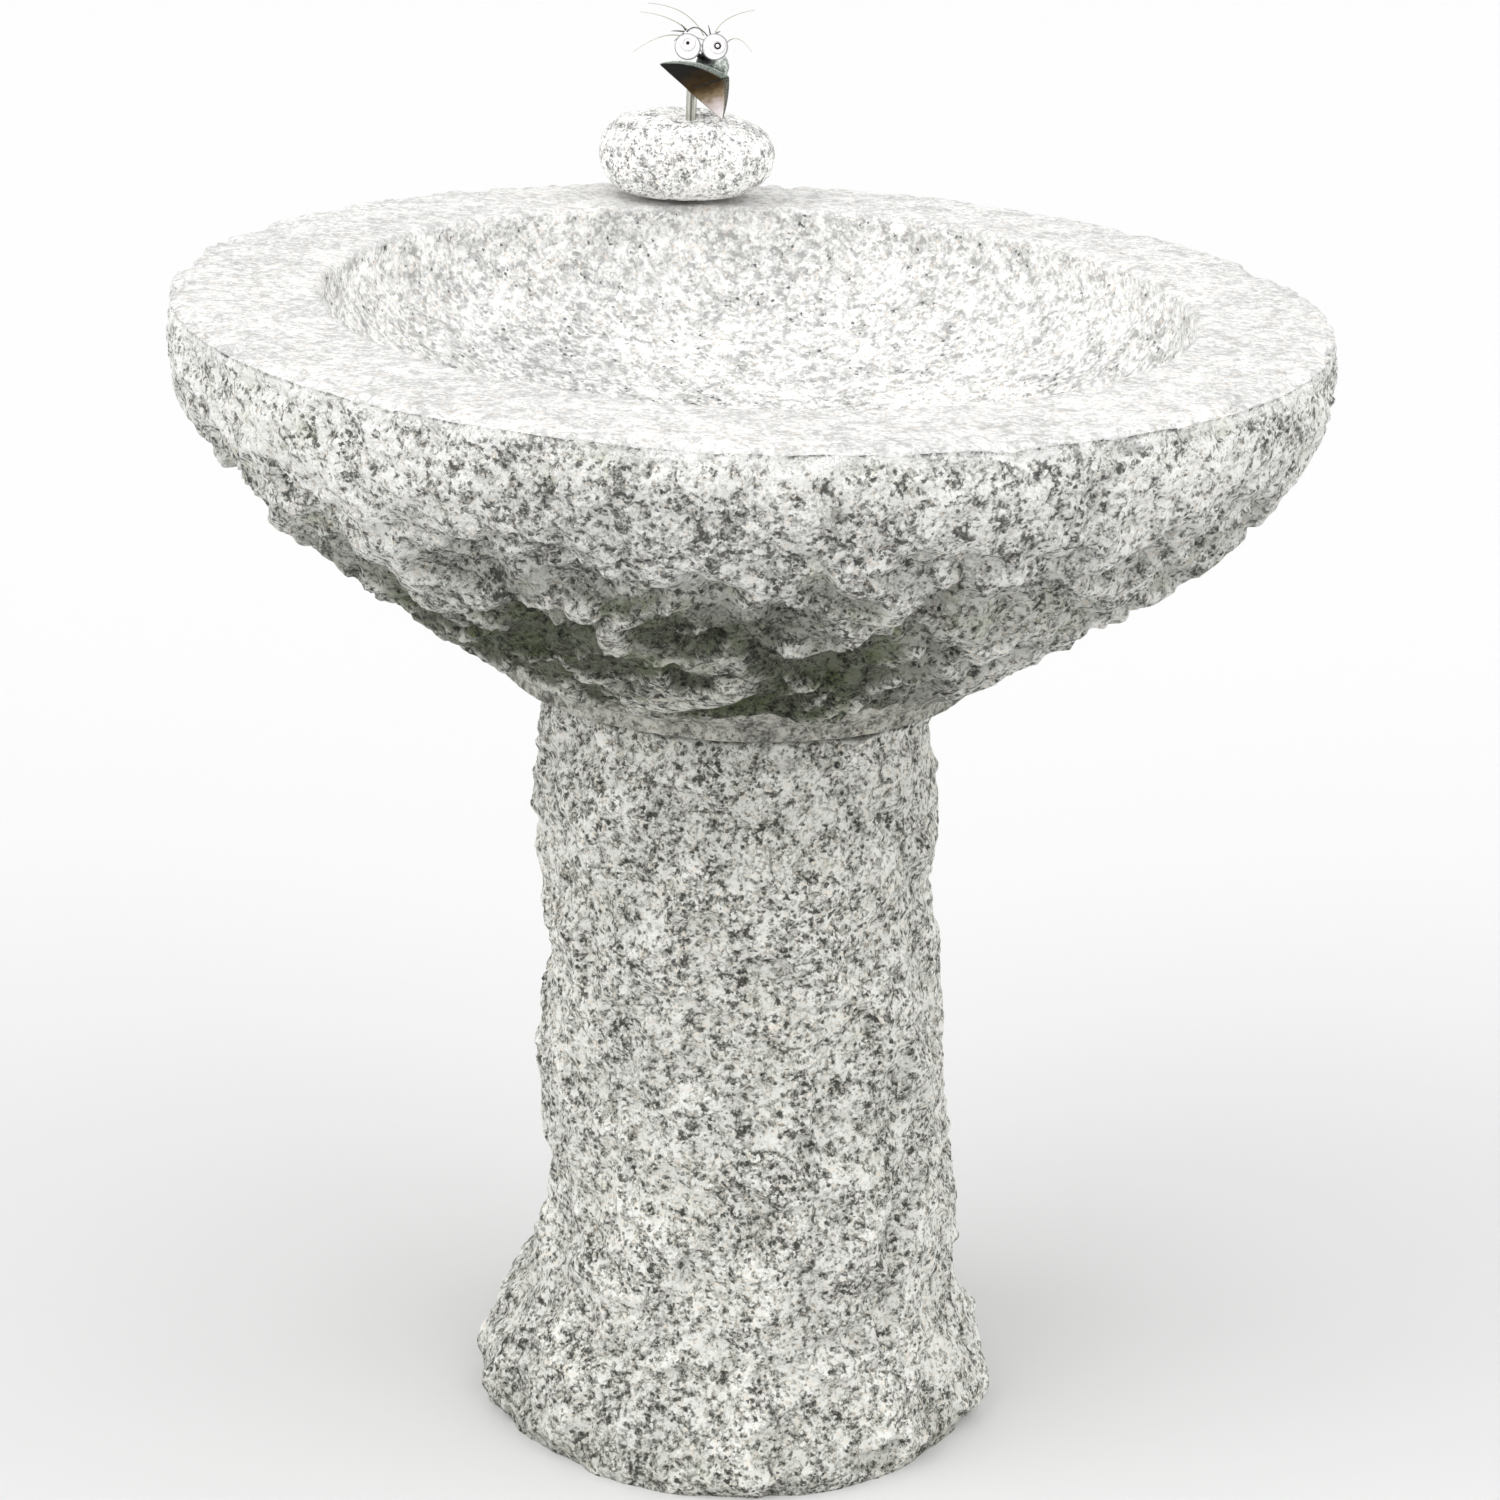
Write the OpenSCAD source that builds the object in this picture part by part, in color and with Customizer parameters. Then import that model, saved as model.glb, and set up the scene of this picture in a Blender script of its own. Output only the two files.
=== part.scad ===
// Granite bird bath in three stones: a rough pedestal, a basin that is lifted onto a dowel,
// and a loose boulder on the rim that carries a small steel bird's head.
// Origin: on the dowel's axis at ground level. +Z is up, and the bird looks towards -Y.

/* [Basin] */
// Widest diameter of the basin, over its rough edge
basin_d = 608; // [560:1:680]
// Height of the basin, from the underside of its foot to the rim
basin_h = 201; // [180:1:240]
// Width of the rim, from the dish to the widest part of the edge
rim_w = 77; // [60:1:90]
// Depth of the dish below the rim
dish_depth = 92; // [60:1:110]
// Height of the upright rough edge under the rim
edge_h = 22; // [15:1:40]
// Diameter of the sawn foot ring
foot_d = 254; // [230:1:280]
// Height of the sawn foot ring
foot_h = 12; // [8:1:20]
// How far the rough belly stands out over the foot ring
belly_overhang = 11; // [0:1:20]

/* [Pedestal] */
// Height of the pedestal stone
pedestal_h = 424; // [300:1:600]
// Diameter of the pedestal's shaft at its top
shaft_top_d = 220; // [190:1:225]
// Diameter of the shaft where it meets the root
shaft_low_d = 238; // [220:1:250]
// Diameter of the pedestal's spread root
root_d = 300; // [270:1:320]
// Height over which the root runs into the shaft
root_h = 135; // [100:1:180]
// How far the root sits to one side of the dowel's axis
root_shift = 14; // [0:1:16]
// Lean of the hand-split shaft, in degrees
shaft_lean = 3; // [0:0.1:3]

/* [Setting] */
// Diameter of the centring dowel
dowel_d = 16; // [12:1:20]
// Length of the centring dowel
dowel_len = 110; // [80:1:120]
// Diameter of a setting pad
pad_d = 32; // [20:1:40]
// Thickness of a setting pad
pad_t = 2; // [1:0.5:4]
// Number of setting pads
pad_count = 4; // [3:1:6]

/* [Boulder] */
// Length of the boulder along the rim
boulder_w = 103; // [90:1:110]
// Depth of the boulder across the rim
boulder_depth = 80; // [70:1:84]
// Height of the boulder
boulder_h = 49; // [42:1:50]
// Width of the boulder's flat underside
boulder_sole = 44; // [36:1:48]
// Boulder's place along the rim
boulder_x = -42; // [-45:1:45]
// Boulder's distance behind the basin's axis
boulder_y = 247; // [245:1:258]

/* [Bird] */
// Neck's place along the rim
neck_x = -40; // [-45:1:45]
// Neck's distance behind the basin's axis
neck_y = 238; // [236:1:242]
// Outside diameter of the neck tube
tube_d = 6; // [5:0.5:7]
// Wall of the neck tube
tube_wall = 1; // [0.5:0.1:1.5]
// Height of the head's middle above the rim
head_rise = 72; // [70:1:80]
// Thickness of the beak's sheet
sheet_t = 1; // [0.8:0.1:1.2]
// Diameter of the large eye disc
eye_d = 15; // [12:0.5:15]
// Diameter of the small ring on an eye
eye_ring_d = 9; // [8:0.5:10]
// Diameter of a lash wire
lash_d = 0.9; // [0.8:0.1:1.2]
// Diameter of a hair wire
hair_d = 0.8; // [0.8:0.1:1.2]

/* [Hidden] */

fit_gap = 0.05;            // radial clearance of a running fit
end_gap = 0.5;             // room past the end of a dowel or a tube in its blind hole
round_fn = 96;

foot_z = pedestal_h + pad_t;
rim_z = foot_z + basin_h;
basin_r = basin_d / 2;
dish_r = basin_r - rim_w;
rim_arris = 5;             // the rough edge stands this far past the flat rim
dish_power = 2.3;          // fullness of the dish: 2 is an ellipse
belly_power = 1.85;        // fullness of the basin's rough underside

dowel_low = pedestal_h - dowel_len / 2;
pad_ring_r = 76;

bore_floor_z = rim_z + boulder_h - 28;
head = [neck_x, neck_y, rim_z + head_rise];

// Head: every point is measured from the head's middle, on the neck's axis.
upper_tip = [-18, -24, 8.5];
lower_tip = [18, -18, -21.7];
gape_left = [-2, -5, -8.4];
gape_right = [20.6, -2, -0.6];
skull_at = [11, 3.5, 4];
skull_r = 10;
neck_top = 5;
face_yaw = -8;
face_up = 12;
left_eye = [-3, -7, 16.4];
right_eye = [12.4, -7, 16.9];
eye_t = 1.5;
ring_t = 1;
pupil_d = 4;
stem_d = 3;

left_ring_shift = [0, 2];
right_ring_shift = [1.6, 0.6];
left_lash_ends = [
  [[-4.6, -3, 24.7], [-7.4, -6, 28.7]],
  [[-5.2, -4.4, 24.3], [-12.9, -6, 24.6]],
  [[-5, -3.4, 23.7], [-10.9, -4.4, 18.8]]
];
right_lash_ends = [
  [[9.6, -5.3, 22.8], [8, -5.5, 28.8]],
  [[11.6, -5.2, 23.2], [15, -6.5, 25.8]]
];

stone = [0.80, 0.80, 0.78];
steel = [0.66, 0.66, 0.66];
dark_steel = [0.36, 0.37, 0.35];

function unit(v) = v / norm(v);
function mix(a, b, s) = a * (1 - s) + b * s;

// A stone's cross-section is turned from these outlines.
belly_low_r = foot_d / 2 + belly_overhang;
function belly(steps) =
  [for (i = [steps:-1:0])
    let (s = i / steps)
    [mix(belly_low_r, basin_r, 1 - pow(s, belly_power)), mix(basin_h - edge_h, foot_h, s)]];
function dish(steps) =
  [for (i = [0:steps])
    let (a = 90 * i / steps)
    [dish_r * pow(cos(a), 2 / dish_power), basin_h - dish_depth * pow(sin(a), 2 / dish_power)]];
function root_r(z) = mix(shaft_low_d, root_d, (1 + cos(180 * z / root_h)) / 2) / 2;
function pebble(r, sole_r, crown_r, h, steps) =
  [for (i = [0:steps])
    let (a = 180 * i / steps, flat_r = a < 90 ? sole_r : crown_r)
    [flat_r + (r - flat_r) * pow(sin(a), 0.8), h / 2 * (1 - cos(a))]];

// Round bar between two points.
module rod(a, b, d) {
  v = b - a;
  translate(a)
    rotate([0, acos(v.z / norm(v)), atan2(v.y, v.x)])
      cylinder(h = norm(v), d = d, $fn = 32);
}

// Bent sheet: a grid of points and the same grid one thickness behind it.
module sheet(grid, back) {
  nu = len(grid);
  nv = len(grid[0]);
  front = [for (row = grid) for (p = row) p];
  behind = [for (p = front) p + back];
  last = nu * nv;
  function at(i, j) = i * nv + j;
  cells = [for (i = [0:nu - 2]) for (j = [0:nv - 2]) [at(i, j), at(i, j + 1), at(i + 1, j + 1), at(i + 1, j)]];
  skin = [for (c = cells) each [[c[0], c[1], c[2]], [c[0], c[2], c[3]]]];
  lining = [for (t = skin) [last + t[2], last + t[1], last + t[0]]];
  edge = concat(
    [for (j = [0:nv - 2]) [at(0, j + 1), at(0, j)]],
    [for (i = [0:nu - 2]) [at(i, 0), at(i + 1, 0)]],
    [for (j = [0:nv - 2]) [at(nu - 1, j), at(nu - 1, j + 1)]],
    [for (i = [0:nu - 2]) [at(i + 1, nv - 1), at(i, nv - 1)]]);
  rim = [for (e = edge) each [[e[0], e[1], last + e[1]], [e[0], last + e[1], last + e[0]]]];
  polyhedron(concat(front, behind), concat(skin, lining, rim), convexity = 4);
}

// Grid of half a beak: from the gape to the tip, bowed away from the mouth.
function beak_grid(tip, bow, lift, steps) =
  [for (i = [0:steps])
    let (s = 0.96 * i / steps)
    [for (j = [0:steps])
      let (w = j / steps)
      mix(mix(gape_left, gape_right, w), tip, s)
        + bow * 4 * w * (1 - w) * (1 - s)
        + lift * 4 * s * (1 - s) * w]];

function flipped(grid) = [for (row = grid) [for (j = [len(row) - 1:-1:0]) row[j]]];

// Thin wire on a quadratic curve from a to c, pulled towards b.
module wire(a, b, c, d, steps = 14, sides = 8) {
  function on(s) = mix(mix(a, b, s), mix(b, c, s), s);
  function along(s) = unit(mix(b - a, c - b, s));
  aside = unit(cross(b - a, c - a));
  points = [for (i = [0:steps])
    let (s = i / steps, up = cross(along(s), aside))
    for (k = [0:sides - 1])
      on(s) + d / 2 * (cos(360 * k / sides) * aside + sin(360 * k / sides) * up)];
  walls = [for (i = [0:steps - 1]) for (k = [0:sides - 1])
    let (n = (k + 1) % sides, p = i * sides)
    each [[p + k, p + sides + k, p + sides + n], [p + k, p + sides + n, p + n]]];
  caps = [[for (k = [0:sides - 1]) k], [for (k = [sides - 1:-1:0]) steps * sides + k]];
  polyhedron(points, concat(walls, caps), convexity = 4);
}

module pedestal() {
  sole_chamfer = 8;
  color(stone)
    difference() {
      union() {
        intersection() {
          translate([0, 0, pedestal_h])
            rotate([0, -shaft_lean, 0])
              translate([0, 0, root_h - pedestal_h])
                cylinder(h = pedestal_h - root_h + 20, d1 = shaft_low_d, d2 = shaft_top_d, $fn = round_fn);
          translate([-root_d, -root_d, root_h - 30])
            cube([2 * root_d, 2 * root_d, pedestal_h - root_h + 30]);
        }
        translate([root_shift, 0, 0])
          rotate_extrude($fn = round_fn)
            polygon(concat(
              [[0, 0], [root_d / 2 - sole_chamfer, 0]],
              [for (i = [1:10]) let (z = root_h * i / 10) [root_r(z), z]],
              [[0, root_h]]));
      }
      translate([0, 0, dowel_low - end_gap])
        cylinder(h = dowel_len, r = dowel_d / 2 + fit_gap, $fn = round_fn);
    }
}

module dowel() {
  color(steel)
    translate([0, 0, dowel_low])
      cylinder(h = dowel_len, d = dowel_d, $fn = round_fn);
}

module setting_pads() {
  color([0.25, 0.25, 0.24])
    for (i = [0:pad_count - 1])
      rotate([0, 0, 45 + 360 * i / pad_count])
        translate([pad_ring_r, 0, pedestal_h])
          cylinder(h = pad_t - fit_gap, d = pad_d, $fn = round_fn);
}

module basin() {
  foot_r = foot_d / 2;
  color(stone)
    translate([0, 0, foot_z])
      difference() {
        rotate_extrude($fn = round_fn)
          polygon(concat(
            [[0, 0], [foot_r, 0], [foot_r, foot_h]],
            belly(12),
            [[basin_r, basin_h - 10], [basin_r - rim_arris, basin_h]],
            dish(14)));
        translate([0, 0, -1])
          cylinder(h = dowel_len / 2 + end_gap + 1 - pad_t, r = dowel_d / 2 + fit_gap, $fn = round_fn);
      }
}

module boulder() {
  reach = (boulder_w - boulder_depth) / 2;
  color(stone)
    difference() {
      translate([boulder_x, boulder_y, rim_z])
        hull()
          for (side = [-1, 1])
            translate([side * reach, 0, 0])
              rotate_extrude($fn = 32)
                polygon(concat([[0, 0]], pebble(boulder_depth / 2, boulder_sole / 2, 4, boulder_h, 16), [[0, boulder_h]]));
      translate([neck_x, neck_y, bore_floor_z])
        cylinder(h = boulder_h, r = tube_d / 2 + fit_gap, $fn = round_fn);
    }
}

module neck_tube() {
  low = bore_floor_z + end_gap;
  color(steel)
    translate([neck_x, neck_y, low])
      difference() {
        cylinder(h = head.z + neck_top - low, d = tube_d, $fn = round_fn);
        translate([0, 0, -1])
          cylinder(h = head.z, d = tube_d - 2 * tube_wall, $fn = round_fn);
      }
}

module neck_weld() {
  aside = unit([skull_at.x, skull_at.y, 0]);
  color(dark_steel)
    translate(head)
      rod(aside * 2.6 + [0, 0, -1], aside * 2.6 + [0, 0, neck_top], 2.4);
}

module skull() {
  color(dark_steel)
    translate(head + skull_at)
      difference() {
        sphere(r = skull_r, $fn = 64);
        sphere(r = skull_r - sheet_t, $fn = 64);
        translate([0, 0, -skull_r - 5])
          cube([3 * skull_r, 3 * skull_r, 2 * skull_r], center = true);
      }
}

module upper_beak() {
  back = unit(cross(upper_tip - gape_left, gape_right - gape_left)) * sheet_t;
  color(dark_steel)
    translate(head)
      sheet(flipped(beak_grid(upper_tip, [0, 2, 1.5], [0, 1, 4], 8)), back);
}

module lower_beak() {
  back = unit(cross(gape_right - gape_left, lower_tip - gape_left)) * sheet_t;
  color(steel)
    translate(head)
      sheet(beak_grid(lower_tip, [0, 2, -1.5], [1, 0, 0], 8), back);
}

module beak_seam() {
  color(dark_steel)
    translate(head)
      rod(gape_left + [0, 1.5, 0], gape_right + [0, 1.5, 0], 2.4);
}

// Places a flat round piece on an eye: s is how far it stands off the eye's back.
module on_eye(eye, shift, s) {
  translate(head + eye)
    rotate([90 - face_up, 0, face_yaw])
      translate([shift.x, shift.y, s])
        children();
}

module eye_disc(eye) {
  color(steel)
    on_eye(eye, [0, 0], 0)
      cylinder(h = eye_t, d = eye_d, $fn = round_fn);
}

module eye_ring(eye, shift) {
  color(steel)
    on_eye(eye, shift, eye_t)
      difference() {
        cylinder(h = ring_t, d = eye_ring_d, $fn = round_fn);
        translate([0, 0, -1])
          cylinder(h = ring_t + 2, d = pupil_d + 0.6, $fn = round_fn);
      }
}

module pupil(eye, shift) {
  color([0.12, 0.12, 0.12])
    on_eye(eye, shift, eye_t)
      cylinder(h = ring_t * 0.6, d = pupil_d, $fn = round_fn);
}

module eye_stem(eye) {
  start = eye + [0.1, 0.4, 0];
  inward = unit(skull_at - start);
  color(dark_steel)
    translate(head)
      rod(start, start + inward * (norm(skull_at - start) - skull_r + 0.8), stem_d);
}

module brow_plate() {
  color(steel)
    translate(head + [-5.6, -6, 23.9])
      rotate([0, 16.5, 4])
        cube([12, 4, 0.8]);
}

module brow_wire() {
  color(dark_steel)
    translate(head)
      wire([-4, -4, 24.3], [1, -4.5, 30.4], [7.8, -5.6, 22.6], lash_d);
}

module lashes(pairs) {
  color(dark_steel)
    translate(head)
      for (ends = pairs)
        rod(ends[0], ends[1], lash_d);
}

// A hair grows out of the skull in one direction and bends over towards its tip.
module hair(root_way, pull, tip) {
  root = skull_at + unit(root_way) * (skull_r - 0.2);
  color([0.80, 0.78, 0.66])
    translate(head)
      wire(root, pull, tip, hair_d);
}

pedestal();
dowel();
setting_pads();
basin();
boulder();
neck_tube();
neck_weld();
skull();
upper_beak();
lower_beak();
beak_seam();
eye_stem(left_eye);  // left_eye_stem
eye_stem(right_eye);  // right_eye_stem
eye_disc(left_eye);  // left_eye_disc
eye_disc(right_eye);  // right_eye_disc
eye_ring(left_eye, left_ring_shift);  // left_eye_ring
eye_ring(right_eye, right_ring_shift);  // right_eye_ring
pupil(left_eye, left_ring_shift);  // left_pupil
pupil(right_eye, right_ring_shift);  // right_pupil
brow_plate();
brow_wire();
lashes(left_lash_ends);  // left_lashes
lashes(right_lash_ends);  // right_lashes
hair([-2.5, -1, 10], [2.5, 1, 38], [-26.7, 6, 37.9]);  // hair_crown
hair([-5, -1, 10], [-5.6, 3, 32.5], [-30.7, -6, 34.6]);  // hair_upper_left
hair([-7, 0, 9], [-8.6, 5, 31], [-34.3, 4, 10.2]);  // hair_lower_left
hair([1, 0, 10], [7, 3, 31.5], [34, 6, 36.6]);  // hair_upper_right
hair([5, -1, 9], [22, 0, 29], [33.3, -8, 15.1]);  // hair_lower_right
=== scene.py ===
import math

import bmesh
import bpy
import numpy as np
from mathutils import Matrix, Vector


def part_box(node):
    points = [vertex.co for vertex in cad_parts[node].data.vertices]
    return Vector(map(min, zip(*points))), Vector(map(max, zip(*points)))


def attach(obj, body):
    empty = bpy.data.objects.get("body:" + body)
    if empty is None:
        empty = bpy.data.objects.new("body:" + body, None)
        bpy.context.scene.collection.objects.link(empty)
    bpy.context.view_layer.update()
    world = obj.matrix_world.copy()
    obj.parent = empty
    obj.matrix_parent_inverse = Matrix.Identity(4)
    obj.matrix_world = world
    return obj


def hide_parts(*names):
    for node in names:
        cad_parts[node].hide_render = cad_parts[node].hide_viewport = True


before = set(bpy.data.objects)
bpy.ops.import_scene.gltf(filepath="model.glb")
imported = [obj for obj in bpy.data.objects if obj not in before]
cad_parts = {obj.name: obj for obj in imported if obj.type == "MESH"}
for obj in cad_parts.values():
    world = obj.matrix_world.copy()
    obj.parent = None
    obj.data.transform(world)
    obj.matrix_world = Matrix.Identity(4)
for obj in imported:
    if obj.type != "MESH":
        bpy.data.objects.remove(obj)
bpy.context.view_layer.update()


def corners(node):
    """The lowest and highest corners of a CAD node at rest, as two arrays."""
    low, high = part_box(node)
    return np.array(low), np.array(high)


def add_object(name, data):
    """Puts a new object with this mesh, camera or light into the scene."""
    thing = bpy.data.objects.new(name, data)
    bpy.context.scene.collection.objects.link(thing)
    return thing


# ---------------------------------------------------------------- places and sizes, in metres
MM = 0.001
BASIN_LOW, BASIN_HIGH = corners("basin")
BOULDER_LOW, BOULDER_HIGH = corners("boulder")
TUBE_LOW, TUBE_HIGH = corners("neck_tube")
TOP_Z = float(corners("pedestal")[1][2])
DOWEL_TOP_Z = float(corners("dowel")[1][2])
BASIN_R = float(BASIN_HIGH[0])
RIM_Z = float(BASIN_HIGH[2])
FOOT_Z = float(BASIN_LOW[2])
FOOT_R = 127 * MM
FOOT_H = 12 * MM
BELLY_LOW_R = 138 * MM
BELLY_POWER = 1.85
EDGE_H = 22 * MM
RIM_WIDTH = 77 * MM
LIP_R = BASIN_R - RIM_WIDTH - 4 * MM
LIP_SHIFT = 3 * MM
DISH_DEPTH = 92 * MM
DISH_DROP = 2.2 * MM
DISH_POWER = 2.3
BORE_R = 8.05 * MM
BORE_GAP = 0.5 * MM
NECK = 0.5 * (TUBE_LOW + TUBE_HIGH)
HEAD = np.array([NECK[0], NECK[1], TUBE_HIGH[2] - 5 * MM])

# Rings and points of the stones' meshes
BASIN_COUNT = 560
BELLY_STEPS = 112
DISH_STEPS = 54
BORE_ROWS = 6
PEDESTAL_COUNT = 400
PEDESTAL_ROWS = 216
END_ROWS = 8
BOULDER_ROWS = 110
BOULDER_COUNT = 220

# Seeds of the noise
BASIN_SEED, PEDESTAL_SEED, BOULDER_SEED = 11, 23, 37
UPPER_BEAK_SEED, LOWER_BEAK_SEED, BROW_SEED = 51, 52, 65
SKULL_SEED, SEAM_SEED, NECK_WELD_SEED, STEM_SEED = 61, 62, 63, 64

# The basin's parts, which are also its material slots
RIM, SIDE, FOOT, DISH_INSIDE = range(4)


# ---------------------------------------------------------------- rock shaping
class Rock:
    """Repeatable noise in space: smooth lumps, and scoops that meet in sharp ridges."""

    def __init__(self, seed):
        rng = np.random.default_rng(seed)
        self.perm = rng.permutation(256)
        grad = rng.normal(size=(256, 3))
        self.grad = grad / np.linalg.norm(grad, axis=1)[:, None]
        self.spot = rng.random((256, 3))
        self.lift = rng.random(256)
        self.tilt = rng.normal(size=(256, 3))

    def cell(self, i):
        """A repeatable number from 0 to 255 for each cell of space."""
        p = self.perm
        return p[(p[(p[i[:, 0] & 255] + i[:, 1]) & 255] + i[:, 2]) & 255]

    def lumps(self, points, size):
        """Smooth noise from about -1 to 1, with lumps of the given size."""
        p = points / size
        i = np.floor(p).astype(int)
        f = p - i
        u = f * f * f * (f * (f * 6 - 15) + 10)
        total = np.zeros(len(p))
        for step in map(np.array, np.ndindex(2, 2, 2)):
            g = self.grad[self.cell(i + step)]
            weight = np.prod(np.where(step, u, 1 - u), axis=1)
            total += weight * ((f - step) * g).sum(axis=1)
        return total * 1.6

    def rough(self, points, size, octaves, gain=0.5):
        """Lumps with ever smaller lumps on them."""
        total = np.zeros(len(points))
        for k in range(octaves):
            total += gain ** k * self.lumps(points + 0.37 * k, size / 2 ** k)
        return total

    def scoops(self, points, size, lean=0.35, slant=(0, 0, 0), sharp=26.0):
        """Chips of about the given size: each is a hollow on its own slope.

        They meet in ledges and ridges. Slant tips them all one way."""
        p = points / size
        i = np.floor(p).astype(int)
        total = np.zeros(len(p))
        weights = np.full(len(p), 1e-12)
        slant = np.array(slant)
        for step in map(np.array, np.ndindex(3, 3, 3)):
            cell = i + step - 1
            h = self.cell(cell)
            d = p - cell - self.spot[h]
            far = (d * d).sum(axis=1)
            slope = (d * (lean * self.tilt[h] + slant)).sum(axis=1)
            depth = 0.45 + 0.55 * self.lift[h] - 0.8 * far + slope
            weight = np.exp(-sharp * (far - 0.25 * self.lift[h]))
            total += weight * depth
            weights += weight
        return total / weights


def smooth(value, low, high):
    """A soft step: 0 below low, 1 above high."""
    t = np.clip((value - low) / (high - low), 0, 1)
    return t * t * (3 - 2 * t)


def ring_points(r, z, count):
    """Points of a turned surface: one ring of count points for each (r, z)."""
    angle = 2 * np.pi * np.arange(count) / count
    x = r[:, None] * np.cos(angle)
    y = r[:, None] * np.sin(angle)
    return np.stack([x, y, np.repeat(z[:, None], count, axis=1)], axis=-1)


def with_middles(rings):
    """The points of the rings, and then the middles of the first and the last."""
    return np.concatenate([*rings, [rings[0].mean(axis=0), rings[-1].mean(axis=0)]])


def ring_faces(counts):
    """Rows of faces between rings of points, then over both ends to their middles.

    Each ring has as many points as the last one, or half or twice as many."""
    starts = np.concatenate([[0], np.cumsum(counts)]).tolist()
    rows = []
    for low, high, count, after in zip(starts, starts[1:], counts, counts[1:]):
        row = []
        fewer = min(count, after)
        for j in range(fewer):
            k = (j + 1) % fewer
            if count == after:
                row.append((low + j, low + k, high + k, high + j))
            elif count > after:
                row.append((low + 2 * j, low + 2 * j + 1, high + j))
                row.append((low + 2 * j + 1, low + 2 * k, high + k, high + j))
            else:
                row.append((low + j, high + 2 * j + 1, high + 2 * j))
                row.append((low + j, low + k, high + 2 * k, high + 2 * j + 1))
        rows.append(row)
    end, last = starts[-1], starts[-2]
    rows.append([(end, (j + 1) % counts[0], j) for j in range(counts[0])])
    rows.append([(end + 1, last + j, last + (j + 1) % counts[-1]) for j in range(counts[-1])])
    return rows


def turned_mesh(name, rings, parts):
    """A closed mesh from rings of points; parts gives each row of faces its material slot."""
    rows = ring_faces([len(ring) for ring in rings])
    marks = np.repeat([*parts[:len(rings) - 1], parts[0], parts[-1]], [len(row) for row in rows])
    mesh = bpy.data.meshes.new(name)
    mesh.from_pydata(with_middles(rings).tolist(), [], sum(rows, []))
    mesh.polygons.foreach_set("material_index", marks.tolist())
    mesh.polygons.foreach_set("use_smooth", [True] * len(marks))
    mesh.update()
    return add_object(name, mesh)


def paint(piece, name, values):
    """Stores one number for each vertex, for the materials to read."""
    field = piece.data.attributes.new(name, "FLOAT", "POINT")
    full = np.zeros(len(piece.data.vertices))
    full[:len(values)] = values
    field.data.foreach_set("value", full)


def outline(start, steps):
    """Even points along a polyline, as lists of r, z and part.

    Each step is a stretch's end, its number of points and its part."""
    r, z, mark = [], [], []
    for end, count, part in steps:
        for i in range(count):
            s = i / count
            r.append(start[0] + (end[0] - start[0]) * s)
            z.append(start[1] + (end[1] - start[1]) * s)
            mark.append(part)
        start = end
    return r, z, mark


def basin_profile():
    """The basin's outline from its bore, over the foot, belly, edge, rim and dish to the middle."""
    bore_top = DOWEL_TOP_Z + BORE_GAP
    r, z, mark = outline((0.001, bore_top), [
        ((BORE_R, bore_top), 1, FOOT),
        ((BORE_R, FOOT_Z), 2, FOOT),
        ((FOOT_R - 0.002, FOOT_Z), 5, FOOT),
        ((FOOT_R, FOOT_Z + 0.0012), 2, FOOT),
        ((FOOT_R + 0.0006, FOOT_Z + 0.0085), 4, FOOT),
        ((FOOT_R + 0.006, FOOT_Z + FOOT_H), 3, FOOT)])
    low, high = FOOT_Z + FOOT_H, RIM_Z - EDGE_H
    for i in range(BELLY_STEPS):
        s = 1 - i / BELLY_STEPS
        r.append(BELLY_LOW_R + (BASIN_R - BELLY_LOW_R) * (1 - s ** BELLY_POWER))
        z.append(high + (low - high) * s)
        mark.append(SIDE)
    edge = outline((BASIN_R, high), [
        ((BASIN_R - 0.0005, RIM_Z - 0.012), 6, SIDE),
        ((BASIN_R - 0.0020, RIM_Z - 0.006), 3, SIDE),
        ((BASIN_R - 0.0050, RIM_Z - 0.0018), 3, SIDE),
        ((BASIN_R - 0.0110, RIM_Z), 2, RIM),
        ((LIP_R + 0.006, RIM_Z), 8, RIM),
        ((LIP_R + 0.0005, RIM_Z - 0.0012), 2, RIM)])
    for got, more in zip((r, z, mark), edge):
        got += more
    for i in range(DISH_STEPS + 1):
        a = 0.5 * math.pi * (i / DISH_STEPS) ** 0.9
        r.append(LIP_R * max(math.cos(a), 0.004) ** (2 / DISH_POWER))
        z.append(RIM_Z - DISH_DROP - (DISH_DEPTH - DISH_DROP) * math.sin(a) ** (2 / DISH_POWER))
        mark.append(DISH_INSIDE)
    return np.array(r), np.array(z), mark


def outward(r, z):
    """The outline's normals in the (r, z) plane."""
    dr = np.gradient(r)
    dz = np.gradient(z)
    length = np.hypot(dr, dz) + 1e-12
    return dz / length, -dr / length


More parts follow.
